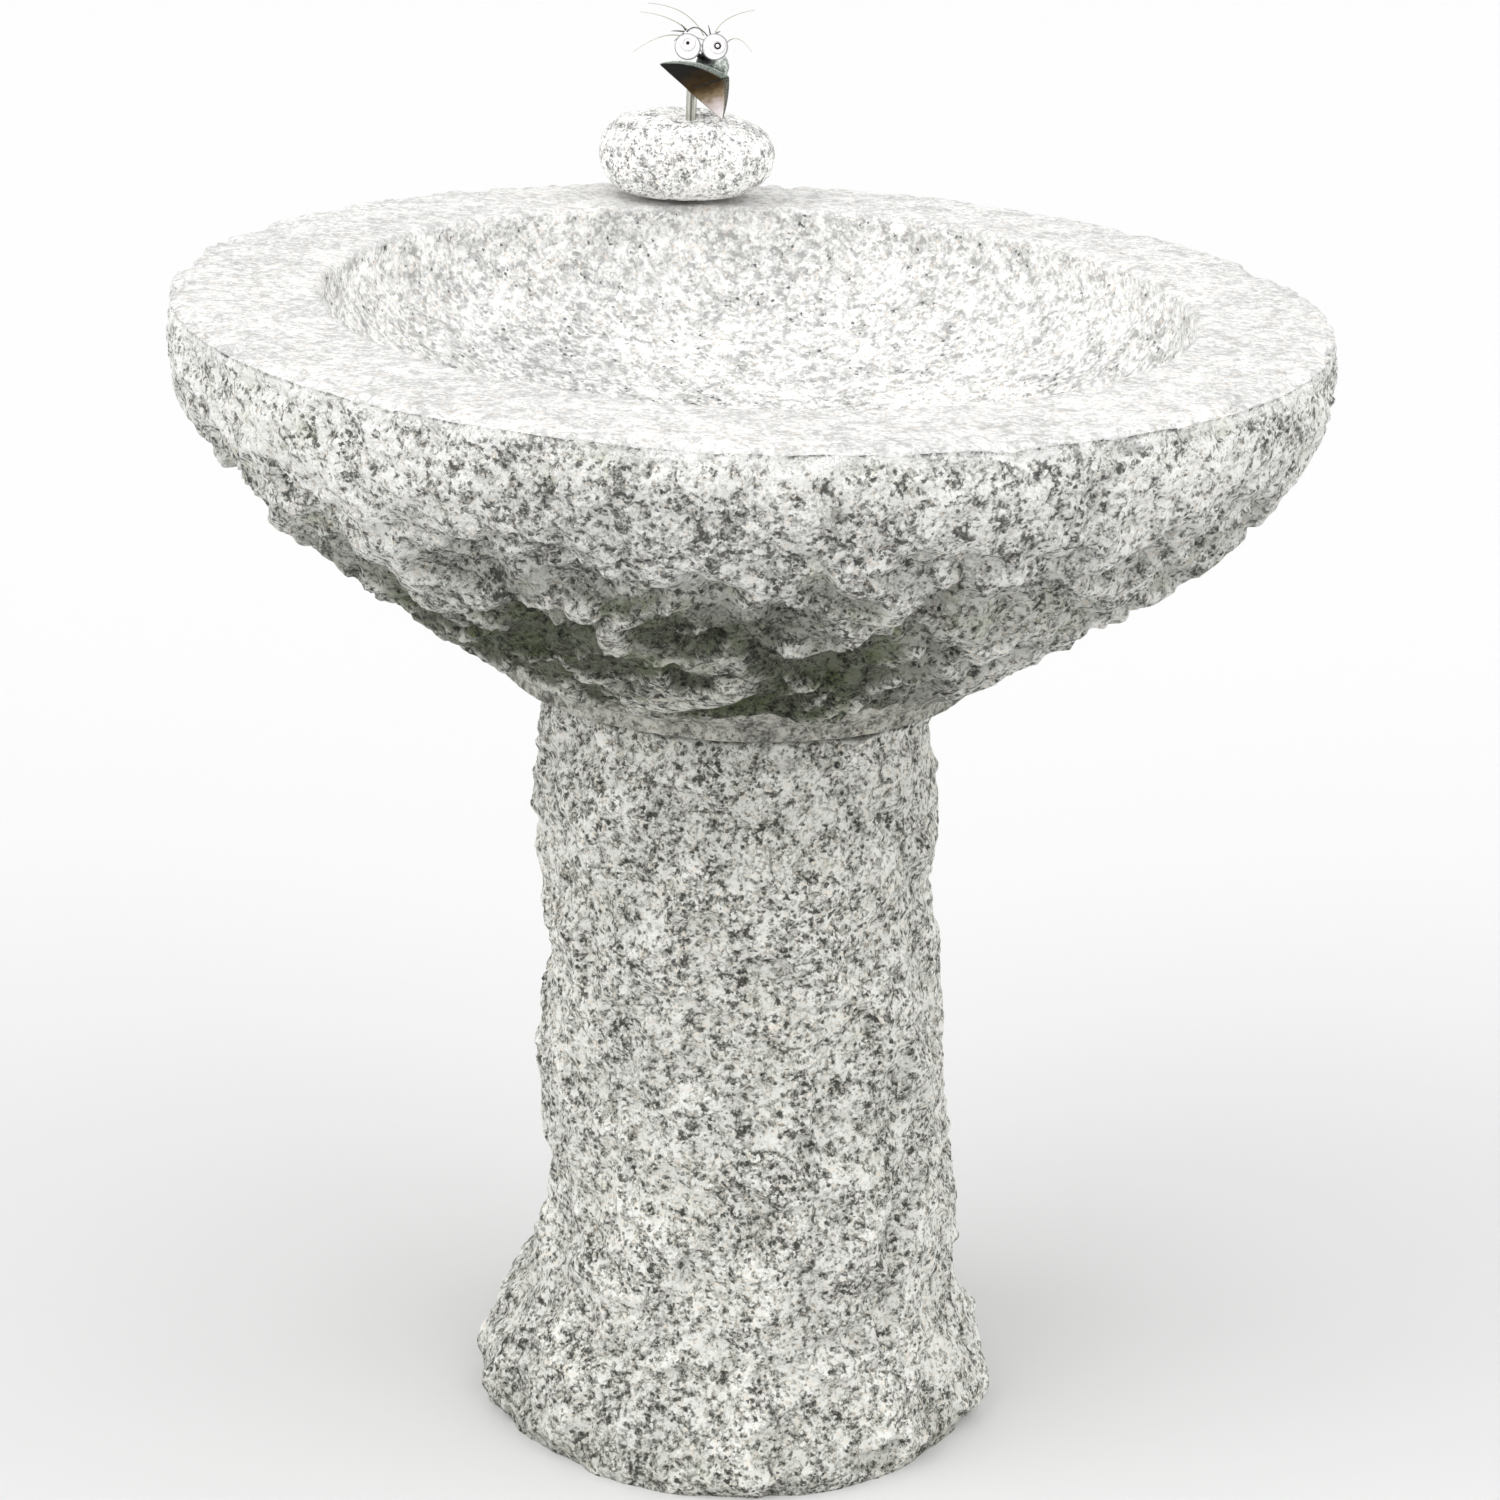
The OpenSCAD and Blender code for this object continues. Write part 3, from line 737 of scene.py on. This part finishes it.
# The upper beak's inner face: a brown heat tint at the fold, then near black, which is painted
# shade inside the beak
UPPER_SHADED = heated_metal("dark_steel",
                     [(0.0, (0.060, 0.038, 0.016)), (0.22, (0.034, 0.023, 0.012)),
                      (0.42, (0.012, 0.012, 0.010)), (1.0, (0.010, 0.011, 0.010))],
                     [(0.16, 0.19, 0.17), (0.30, 0.34, 0.31), (0.50, 0.54, 0.50)], 0.40, 0.12)
# The lower beak's inner face: heat tints from dark brown at the fold to olive, with painted shade
# at the fold and painted light towards the pale grey tip
LOWER = heated_metal("heated_steel",
                     [(0.0, (0.050, 0.030, 0.014)), (0.14, (0.10, 0.066, 0.030)),
                      (0.30, (0.20, 0.145, 0.085)), (0.50, (0.44, 0.37, 0.34)),
                      (0.75, (0.62, 0.56, 0.57)), (1.0, (0.72, 0.69, 0.70))],
                     [(0.05, 0.05, 0.04), (0.10, 0.10, 0.08), (0.18, 0.18, 0.15)], 0.36, 0.25)
# Near black: the beak's seam weld, and on the eye stems painted shade
DARK = metal("seam_steel", [(0.010, 0.010, 0.009), (0.022, 0.022, 0.019), (0.05, 0.05, 0.045)],
             0.45, metallic=0.6)
TARNISHED = metal("tarnished_steel", [(0.04, 0.045, 0.04), (0.10, 0.11, 0.10),
                                      (0.26, 0.28, 0.25)], 0.40, relief=0.0003)
BLACK = metal("black_steel", [(0.012, 0.012, 0.012), (0.045, 0.042, 0.042)], 0.35,
              marked=(0.82, 0.80, 0.80))
HAIR = metal("hair_wire", [(0.34, 0.33, 0.26), (0.56, 0.55, 0.46)], 0.32)
DOWEL = metal("dowel_steel", [(0.34, 0.35, 0.36), (0.55, 0.56, 0.57), (0.70, 0.71, 0.72)], 0.28,
              stretch=(1, 1, 9))


def rubber():
    """Black, slightly mottled rubber."""
    material, g, shader = new_material("pad_rubber")
    mottled = g.noise(g.place(), 500, 3.0, 0.6)
    tones = [(0.3, (0.030, 0.030, 0.030)), (0.7, (0.055, 0.055, 0.052))]
    g.put(shader, {"Base Color": g.ramp(mottled, tones), "Normal": g.bump(mottled, 0.0002),
                   "Roughness": g.grey(mottled, 0.3, 0.7, 0.75, 0.92)})
    return material


def finish_piece(piece, body, node, materials):
    """Gives a piece its materials, its body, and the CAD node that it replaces."""
    for material in materials:
        piece.data.materials.append(material)
    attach(piece, body)
    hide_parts(node)


finish_piece(carve_basin(), "basin", "basin", [HAMMERED, ROUGH, SHADED_SAWN, DISH])
finish_piece(carve_pedestal(), "pedestal", "pedestal", [HAMMERED, COLUMN])
finish_piece(carve_boulder(), "boulder", "boulder", [PEBBLE])

# ---------------------------------------------------------------- the bird, in mm from its head
UPPER_TIP = (-18, -24, 8.5)
LOWER_TIP = (18, -18, -21.7)
GAPE_LEFT = (-2, -5, -8.4)
GAPE_RIGHT = (20.6, -2, -0.6)
SKULL_AT = (11, 3.5, 4)
SKULL_R = 10
LEFT_EYE = (-3, -7, 16.4)
RIGHT_EYE = (12.4, -7, 16.9)
EYE_R = 7.5
FACE_YAW = -8
FACE_UP = 12
SHEET_THICK = 1.0
SEAM_R = 0.95
NECK_WELD_R = 1.2
STEM_R = 1.5
EYE_COUNT = 64
HAIR_R = 0.36
LASH_R = 0.45


def at_head(points):
    """Points given in millimetres from the head's middle, in the frame."""
    return HEAD + np.asarray(points, float) * MM


def solid(name, verts, faces, sharp=40):
    """A closed mesh with its faces turned outwards."""
    mesh = bpy.data.meshes.new(name)
    mesh.from_pydata(np.asarray(verts).tolist(), [], faces)
    shell = bmesh.new()
    shell.from_mesh(mesh)
    bmesh.ops.recalc_face_normals(shell, faces=shell.faces)
    shell.to_mesh(mesh)
    shell.free()
    mesh.polygons.foreach_set("use_smooth", [True] * len(mesh.polygons))
    mesh.set_sharp_from_angle(angle=math.radians(sharp))
    return add_object(name, mesh)


def unit(v):
    """The vector at length 1."""
    v = np.asarray(v, float)
    return v / np.linalg.norm(v)


def wire(points, radii, sides=10):
    """The corners and faces of a round wire through points, in the points' own units."""
    points = np.asarray(points, float)
    along = np.gradient(points, axis=0)
    along /= np.linalg.norm(along, axis=1)[:, None]
    aside = np.cross(along[0], (0.3, 0.2, 0.93))
    verts, faces = [points[0]], []
    angle = 2 * np.pi * np.arange(sides) / sides
    for centre, way, radius in zip(points, along, radii):
        aside = unit(aside - way * np.dot(aside, way))
        up = np.cross(way, aside)
        round_it = np.cos(angle)[:, None] * aside + np.sin(angle)[:, None] * up
        verts += list(centre + radius * round_it)
    verts.append(points[-1])
    for i in range(len(points) - 1):
        for k in range(sides):
            n = (k + 1) % sides
            low = 1 + i * sides
            faces.append((low + k, low + n, low + sides + n, low + sides + k))
    end = 1 + (len(points) - 1) * sides
    for k in range(sides):
        n = (k + 1) % sides
        faces.append((0, 1 + n, 1 + k))
        faces.append((len(verts) - 1, end + k, end + n))
    return np.array(verts), faces


def joined(parts):
    """Several wires' corners and faces as one."""
    verts, faces = [], []
    for some_verts, some_faces in parts:
        start = sum(len(v) for v in verts)
        verts.append(some_verts)
        faces += [tuple(start + i for i in face) for face in some_faces]
    return np.concatenate(verts), faces


def curve(a, b, c, steps):
    """Points of a bend from a to c, pulled towards b."""
    t = np.linspace(0, 1, steps)[:, None]
    a, b, c = (np.asarray(v, float) for v in (a, b, c))
    return a * (1 - t) ** 2 + 2 * b * t * (1 - t) + c * t * t


def bead(a, b, radius, seed, steps=46, ripples=8, bow=(0, 0, 0)):
    """A weld bead from a to b: overlapping ripples, lumpy and rounded at both ends."""
    rock = Rock(seed)
    t = np.linspace(0, 1, steps)
    points = np.asarray(a) + t[:, None] * (np.asarray(b, float) - np.asarray(a, float))
    points = points + np.asarray(bow, float) * (4 * t * (1 - t))[:, None]
    wander = np.stack([rock.lumps(points + k, 3.0) for k in (1.5, 4.5, 7.5)], axis=1)
    points = points + 0.12 * radius * wander
    round_end = np.sqrt(np.clip(1 - (2 * t - 1) ** 8, 0.02, 1))
    ripple = (0.86 + 0.17 * np.abs(np.sin(np.pi * ripples * t))
              + 0.12 * rock.lumps(points + 9.1, 2.0))
    return wire(points, radius * round_end * ripple, 16)


def beak_surface(tip, bow, lift, steps=30):
    """A grid over half a beak, from the gape to the tip, bowed away from the mouth."""
    s = (np.linspace(0, 1, steps) ** 0.9 * 0.985)[:, None, None]
    w = np.linspace(0, 1, steps)[None, :, None]
    tip, bow, lift = (np.asarray(v, float) for v in (tip, bow, lift))
    gape = np.asarray(GAPE_LEFT, float) * (1 - w) + np.asarray(GAPE_RIGHT, float) * w
    bent = bow * 4 * w * (1 - w) * (1 - s) + lift * 4 * s * (1 - s) * w
    return gape * (1 - s) + tip * s + bent


def sheet(grid, back, thick, seed):
    """A bent sheet with a rounded edge: the grid in front and one thickness behind it.

    It gives back the corners, the faces, and for each corner how far it is along the sheet; then,
    for one side's corners, how far each is across it."""
    rock = Rock(seed)
    rows, columns = grid.shape[:2]
    flat = grid.reshape(-1, 3)
    dents = 0.18 * rock.lumps(flat, 7.0) + 0.05 * rock.lumps(flat, 2.2)
    front = flat + unit(back) * dents[:, None]
    behind = front + unit(back) * thick
    loop = ([(i, 0) for i in range(rows)] + [(rows - 1, j) for j in range(1, columns)]
            + [(i, columns - 1) for i in range(rows - 2, -1, -1)]
            + [(0, j) for j in range(columns - 2, 0, -1)])
    middle = grid[rows // 2, columns // 2]
    edge = []
    for i, j in loop:
        inner = grid[min(max(i, 1), rows - 2), min(max(j, 1), columns - 2)]
        out = grid[i, j] - inner
        out = out if np.linalg.norm(out) > 1e-6 else grid[i, j] - middle
        k = i * columns + j
        edge.append(0.5 * (front[k] + behind[k]) + unit(out) * 0.38 * thick)
    verts = np.concatenate([front, behind, edge])
    size = len(flat)
    faces = []
    for i in range(rows - 1):
        for j in range(columns - 1):
            a, d = i * columns + j, (i + 1) * columns + j
            b, c = a + 1, d + 1
            faces.append((a, b, c, d))
            faces.append((size + d, size + c, size + b, size + a))
    for k, (i, j) in enumerate(loop):
        n = (k + 1) % len(loop)
        a, b = i * columns + j, loop[n][0] * columns + loop[n][1]
        faces.append((a, b, 2 * size + n, 2 * size + k))
        faces.append((2 * size + k, 2 * size + n, size + b, size + a))
    run = np.repeat(np.linspace(0, 1, rows), columns)
    across = np.tile(np.linspace(0, 1, columns), rows)
    along = np.concatenate([run, run, [i / (rows - 1) for i, _ in loop]])
    return verts, faces, along, across


def turned_piece(name, eye, shift, profile, marked):
    """A turned piece on an eye, from (radius, height over the eye's back) in millimetres.

    Marked gives each ring of it its share of the darker or lighter tone."""
    turn = np.array(Matrix.Rotation(math.radians(FACE_YAW), 3, "Z")
                    @ Matrix.Rotation(math.radians(90 - FACE_UP), 3, "X"))
    r, h = np.array(profile, float).T
    rings = ring_points(r, h, EYE_COUNT) + np.array([shift[0], shift[1], 0])
    verts = with_middles(at_head(np.asarray(eye) + rings @ turn.T))
    piece = solid(name, verts, sum(ring_faces([EYE_COUNT] * len(r)), []), 35)
    shares = np.repeat(np.asarray(marked, float), EYE_COUNT)
    paint(piece, "marked", np.concatenate([shares, [0, marked[-1]]]))
    return piece


def bird_piece(piece, node, material):
    """Finishes a piece that moves with the bird."""
    finish_piece(piece, "bird", node, [material])


def wire_piece(name, shape, node, material, sharp=40):
    """A wire or a weld of the bird, from its corners and its faces."""
    verts, faces = shape
    bird_piece(solid(name, at_head(verts), faces, sharp), node, material)


def square_to(a, b, corner):
    """The way square to the sheet between two points and a corner."""
    return unit(np.cross(np.subtract(a, corner), np.subtract(b, corner)))


upper = beak_surface(UPPER_TIP, (0, 2, 0.30), (0, 1, 4))
upper_back = square_to(UPPER_TIP, GAPE_RIGHT, GAPE_LEFT)
lower = beak_surface(LOWER_TIP, (0, 2, -0.30), (1, 0, 0))
lower_back = square_to(GAPE_RIGHT, LOWER_TIP, GAPE_LEFT)


def make_beak(name, grid, back, seed, hem, fading, inside):
    """Half a beak: its hem is marked, and may fade at the tip; inside is its inner side's share."""
    verts, faces, along, across = sheet(grid, back, SHEET_THICK, seed)
    size = len(across)
    piece = solid(name + "_sheet", at_head(verts), faces)
    marked = np.ones(len(verts))
    # The hem band takes the hem tones: on the upper beak a painted highlight along its edge
    marked[:size] = smooth(across, hem, hem + 0.06)
    if fading:
        marked[:size] *= 1 - smooth(along[:size], 0.80, 1.0)
    marked[size:2 * size] = inside
    # How far along from the fold: it sets the heat tints with the painted shade and light
    paint(piece, "heat_tint_and_shade", along)
    paint(piece, "marked", marked)
    return piece


# Most of the hem tones cover the upper beak's outer face, so the painted shade stays on its inner
# face
bird_piece(make_beak("upper_beak", upper, upper_back, UPPER_BEAK_SEED, 0.80, True, 0.85),
           "upper_beak", UPPER_SHADED)
bird_piece(make_beak("lower_beak", lower, lower_back, LOWER_BEAK_SEED, 0.84, False, 0.0),
           "lower_beak", LOWER)


def make_skull():
    """A lumpy steel ball with weld ripples, flat below, that lies behind the upper beak."""
    rows, count = 56, 84
    polar = np.linspace(0.03, math.pi - 0.03, rows)
    rings = ring_points(SKULL_R * np.sin(polar), -SKULL_R * np.cos(polar), count).reshape(-1, 3)
    rock = Rock(SKULL_SEED)
    way = rings / np.linalg.norm(rings, axis=1)[:, None]
    lumps = (0.30 * rock.lumps(rings, 6.0) + 0.28 * rock.lumps(rings, 2.4)
             + 0.12 * np.sin(3.4 * rings[:, 2] + 1.5 * rings[:, 0]))
    points = rings + way * (lumps - 0.45)[:, None]
    points[:, 2] = np.maximum(points[:, 2], -5 + 0.2 * rock.lumps(rings, 3.0))
    points = points + np.asarray(SKULL_AT)
    near = upper.reshape(-1, 3)
    for start in range(0, len(points), 600):
        some = points[start:start + 600]
        gap = ((some[:, None] - near[None]) ** 2).sum(axis=2)
        depth = ((some - near[gap.argmin(axis=1)]) * upper_back).sum(axis=1)
        some += upper_back * np.clip(1.1 - depth, 0, None)[:, None]
    verts = with_middles(points.reshape(rows, count, 3))
    piece = solid("skull_ball", at_head(verts), sum(ring_faces([count] * rows), []), 60)
    # Painted shade on the skull's front top, between and under the eyes
    shade_under_eyes = smooth(verts[:, 2], 4.5, 7.5) * (1 - smooth(verts[:, 0], 9.0, 14.0))
    paint(piece, "marked", shade_under_eyes)
    return piece


bird_piece(make_skull(), "skull", SKULL)
seam = bead(np.add(GAPE_LEFT, (0.3, 1.0, 0)), np.add(GAPE_RIGHT, (-0.3, 1.0, 0)), SEAM_R, SEAM_SEED,
            70, 12, (0, 1.6, 0))
wire_piece("beak_seam_weld", seam, "beak_seam", DARK, 60)
aside = 2.6 * unit((SKULL_AT[0], SKULL_AT[1], 0))
weld = bead(aside + (0, 0, -1), aside + (0, 0, 5), NECK_WELD_R, NECK_WELD_SEED, 36, 5)
wire_piece("neck_weld_bead", weld, "neck_weld", SKULL, 60)

# Turned outlines of the eyes' pieces: radius, and height over the disc's back
DISC = [(0.05, 0), (EYE_R - 0.5, 0), (EYE_R - 0.12, 0.15), (EYE_R, 0.5), (EYE_R, 1.0),
        (EYE_R - 0.12, 1.32), (EYE_R - 0.5, 1.5), (EYE_R - 0.95, 1.5), (EYE_R - 1.15, 1.34),
        (EYE_R - 1.35, 1.5), (4.9, 1.5), (2.5, 1.5), (0.05, 1.5)]
WASHER = [(0.05, 1.45), (4.3, 1.45), (4.46, 1.55), (4.5, 1.8), (4.42, 2.02), (4.1, 2.15),
          (3.2, 2.2), (2.7, 2.12), (2.35, 1.95), (2.25, 1.75), (0.05, 1.7)]
PUPILS = {
    "left": [(0.04, 1.6), (0.95, 1.6), (1.05, 1.75), (0.95, 1.95), (0.5, 2.05), (0.04, 2.08)],
    "right": [(0.04, 1.6), (1.9, 1.6), (2.0, 1.75), (1.92, 1.95), (1.6, 2.08), (1.25, 2.02),
              (1.05, 1.85), (0.95, 1.9), (0.5, 2.0), (0.04, 2.02)],
}
# The darker and lighter rings of each; the darker rims, groove and hole edges of the washers and
# nuts are painted shade
DISC_MARKS = [r > EYE_R - 0.6 or 0.2 * (abs(r - EYE_R + 1.15) < 0.1) for r, _ in DISC]
WASHER_MARKS = [0.75 * (r > 4.35 or 2.3 < r < 2.5) for r, _ in WASHER]
for side, eye, shift in (("left", LEFT_EYE, (0, 2)), ("right", RIGHT_EYE, (1.6, 0.6))):
    bird_piece(turned_piece(side + "_eye_washer", eye, (0, 0), DISC, DISC_MARKS),
               side + "_eye_disc", BRIGHT)
    bird_piece(turned_piece(side + "_eye_nut", eye, shift, WASHER, WASHER_MARKS),
               side + "_eye_ring", RING)
    marked = [side == "right" and r < 1.0 for r, _ in PUPILS[side]]
    bird_piece(turned_piece(side + "_pupil_rivet", eye, shift, PUPILS[side], marked),
               side + "_pupil", BLACK)
    start = np.add(eye, (0.1, 0.4, 0))
    inward = unit(np.subtract(SKULL_AT, start))
    length = np.linalg.norm(np.subtract(SKULL_AT, start)) - SKULL_R + 0.8
    stem = bead(start, start + inward * length, STEM_R, STEM_SEED, 30, 4)
    # The stems are near black: painted shade in the gap between the eyes and the skull
    wire_piece(side + "_eye_weld", stem, side + "_eye_stem", DARK, 60)


def make_brow():
    """The bright strip over the eyes, with rounded corners and darker long edges."""
    length, width, thick = 12, 4, 0.55
    u = np.linspace(0, 1, 26)[:, None]
    v = np.linspace(0, 1, 9)[None, :]
    corner = 1 - 0.16 * (np.abs(2 * u - 1) ** 14)
    grid = np.stack([length * u + 0 * v, width * (0.5 + (v - 0.5) * corner),
                     0.25 * np.sin(np.pi * u) + 0 * v], axis=-1)
    verts, faces, _, across = sheet(grid, (0, 0, 1), thick, BROW_SEED)
    turn = np.array(Matrix.Rotation(math.radians(4), 3, "Z")
                    @ Matrix.Rotation(math.radians(16.5), 3, "Y")
                    @ Matrix.Rotation(math.radians(24), 3, "X"))
    piece = solid("brow_strip", at_head(verts @ turn.T + (-5.6, -6, 23.3)), faces)
    # Darker along the strip's long edges
    near_edge = 0.8 * (np.abs(2 * across - 1) > 0.9)
    rest = np.ones(len(verts) - 2 * len(across))
    paint(piece, "marked", np.concatenate([near_edge, near_edge, rest]))
    return piece


bird_piece(make_brow(), "brow_plate", BRIGHT)
bend = curve((-4, -4, 24.3), (1, -4.5, 30.4), (7.8, -5.6, 22.6), 40)
wire_piece("brow_wire_bend", wire(bend, np.linspace(0.45, 0.36, 40)), "brow_wire", TARNISHED)

# Each lash's root and tip
LASHES = {
    "left": [((-4.6, -3, 24.7), (-7.4, -6, 28.7)), ((-5.2, -4.4, 24.3), (-12.9, -6, 24.6)),
             ((-5, -3.4, 23.7), (-10.9, -4.4, 18.8))],
    "right": [((9.6, -5.3, 22.8), (8, -5.5, 28.8)), ((11.6, -5.2, 23.2), (15, -6.5, 25.8))],
}
for side, pairs in LASHES.items():
    thinning = LASH_R * (1 - 0.7 * np.linspace(0, 1, 18) ** 2)
    bends = [curve(a, 0.5 * np.add(a, b) + (0, 0, 0.5), b, 18) for a, b in pairs]
    wire_piece(side + "_lash_wires", joined([wire(bend, thinning, 8) for bend in bends]),
               side + "_lashes", TARNISHED)

# Each hair's way out of the skull, the point that pulls its bend, and its tip
HAIRS = {
    "hair_crown": ((-2.5, -1, 10), (2.5, 1, 38), (-26.7, 6, 37.9)),
    "hair_upper_left": ((-5, -1, 10), (-5.6, 3, 32.5), (-30.7, -6, 34.6)),
    "hair_lower_left": ((-7, 0, 9), (-8.6, 5, 31), (-34.3, 4, 10.2)),
    "hair_upper_right": ((1, 0, 10), (7, 3, 31.5), (34, 6, 36.6)),
    "hair_lower_right": ((5, -1, 9), (22, 0, 29), (33.3, -8, 15.1)),
}
for hair_name, (way, pull, tip) in HAIRS.items():
    root = np.asarray(SKULL_AT) + unit(way) * (SKULL_R - 1.0)
    thinning = HAIR_R * (1 - 0.62 * np.linspace(0, 1, 48) ** 1.5)
    wire_piece(hair_name + "_wire", wire(curve(root, pull, tip, 48), thinning, 8), hair_name,
               HAIR)


# Painted reflection streaks down the tube, as dark bands: angle in degrees, width in degrees,
# strength
REFLECTION_STREAKS = [(-172, 14, 1.0), (-92, 9, 0.9), (-12, 16, 1.0), (-58, 6, 0.35), (-132, 6, 0.3),
              (60, 12, 0.8), (118, 9, 0.8)]


def make_tube():
    """The neck tube with painted reflection streaks, dark bands down its sides."""
    radius = 0.5 * (TUBE_HIGH[0] - TUBE_LOW[0]) / MM
    low, high = (TUBE_LOW[2] - HEAD[2]) / MM, (TUBE_HIGH[2] - HEAD[2]) / MM
    heights = np.concatenate([[low, low + 0.15], np.linspace(low + 0.6, high - 0.6, 40),
                              [high - 0.15, high]])
    radii = np.full(len(heights), radius - 0.02)
    radii[[0, -1]] -= 0.3
    verts, faces = wire(np.stack([0 * heights, 0 * heights, heights], axis=1), radii, 48)
    angle = np.degrees(np.arctan2(verts[:, 1], verts[:, 0]))
    streak = sum(np.exp(-(((angle - at + 180) % 360 - 180) / wide) ** 2) * dark
                 for at, wide, dark in REFLECTION_STREAKS)
    piece = solid("neck_tube_bar", at_head(verts), faces, 40)
    paint(piece, "marked", np.clip(streak, 0, 1))
    return piece


bird_piece(make_tube(), "neck_tube", TUBE)
for node_name, look in (("dowel", DOWEL), ("setting_pads", rubber())):
    for material_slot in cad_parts[node_name].material_slots:
        material_slot.material = look


# ---------------------------------------------------------------- camera, light and floor
CAMERA_DISTANCE = 2.0
CAMERA_ELEVATION = 12.94
CAMERA_PITCH = 19.68
CAMERA_YAW = 0.25
CAMERA_ROLL = 2.52
CAMERA_LENS = 92.28
SENSOR = 36
FLOOR_HALF = 9.0
FLOOR_GREY = 0.66


def make_camera():
    """The camera in front of the rim's middle and above it, tipped down and slightly rolled."""
    el, pitch, yaw, roll = map(math.radians, (CAMERA_ELEVATION, CAMERA_PITCH, CAMERA_YAW,
                                              CAMERA_ROLL))
    place = Vector((0, -CAMERA_DISTANCE * math.cos(el), RIM_Z + CAMERA_DISTANCE * math.sin(el)))
    ahead = Vector((math.sin(yaw) * math.cos(pitch), math.cos(yaw) * math.cos(pitch),
                    -math.sin(pitch)))
    level = Vector((math.cos(yaw), -math.sin(yaw), 0))
    upright = level.cross(ahead)
    right = level * math.cos(roll) + upright * math.sin(roll)
    up = upright * math.cos(roll) - level * math.sin(roll)
    camera = add_object("camera", bpy.data.cameras.new("camera"))
    camera.data.lens = CAMERA_LENS
    camera.data.sensor_width = SENSOR
    camera.matrix_world = Matrix((
        (right.x, up.x, -ahead.x, place.x), (right.y, up.y, -ahead.y, place.y),
        (right.z, up.z, -ahead.z, place.z), (0, 0, 0, 1)))
    bpy.context.scene.camera = camera


def make_floor():
    """A plain pale floor."""
    mesh = bpy.data.meshes.new("floor")
    half = FLOOR_HALF
    square = [(-half, -half, 0), (half, -half, 0), (half, half, 0), (-half, half, 0)]
    mesh.from_pydata(square, [], [(0, 1, 2, 3)])
    floor = add_object("floor", mesh)
    material, g, shader = new_material("floor")
    g.put(shader, {"Base Color": (FLOOR_GREY, FLOOR_GREY, FLOOR_GREY), "Roughness": 0.9})
    mesh.materials.append(material)


def make_world():
    """White light from all round, brightest near the horizon, so that the background is white."""
    world = bpy.data.worlds.new("world")
    world.use_nodes = True
    g = Graph(world.node_tree)
    split = g.node("SeparateXYZ", {0: g.place("Generated")})
    height = g.maths("ABSOLUTE", split.outputs["Z"], 0)
    back = g.tree.nodes["Background"]
    g.put(back, {"Color": (1, 1, 1), "Strength": g.grey(height, 0.10, 0.34, 1.0, 0.50)})
    bpy.context.scene.world = world


def sun(name, azimuth, elevation, spread, power):
    """Soft light from far away: azimuth 0 is the front, positive towards +X."""
    light = bpy.data.lights.new(name, "SUN")
    light.energy = power
    light.angle = math.radians(spread)
    lamp = add_object(name, light)
    az, el = math.radians(azimuth), math.radians(elevation)
    source = Vector((math.sin(az) * math.cos(el), -math.cos(az) * math.cos(el), math.sin(el)))
    lamp.rotation_euler = source.to_track_quat("Z", "Y").to_euler()


make_camera()
make_world()
make_floor()
sun("overhead", -10, 78, 110, 1.42)
sun("key", -62, 32, 60, 1.75)
sun("fill", 72, 26, 80, 1.60)
bpy.context.scene.view_settings.view_transform = "Standard"
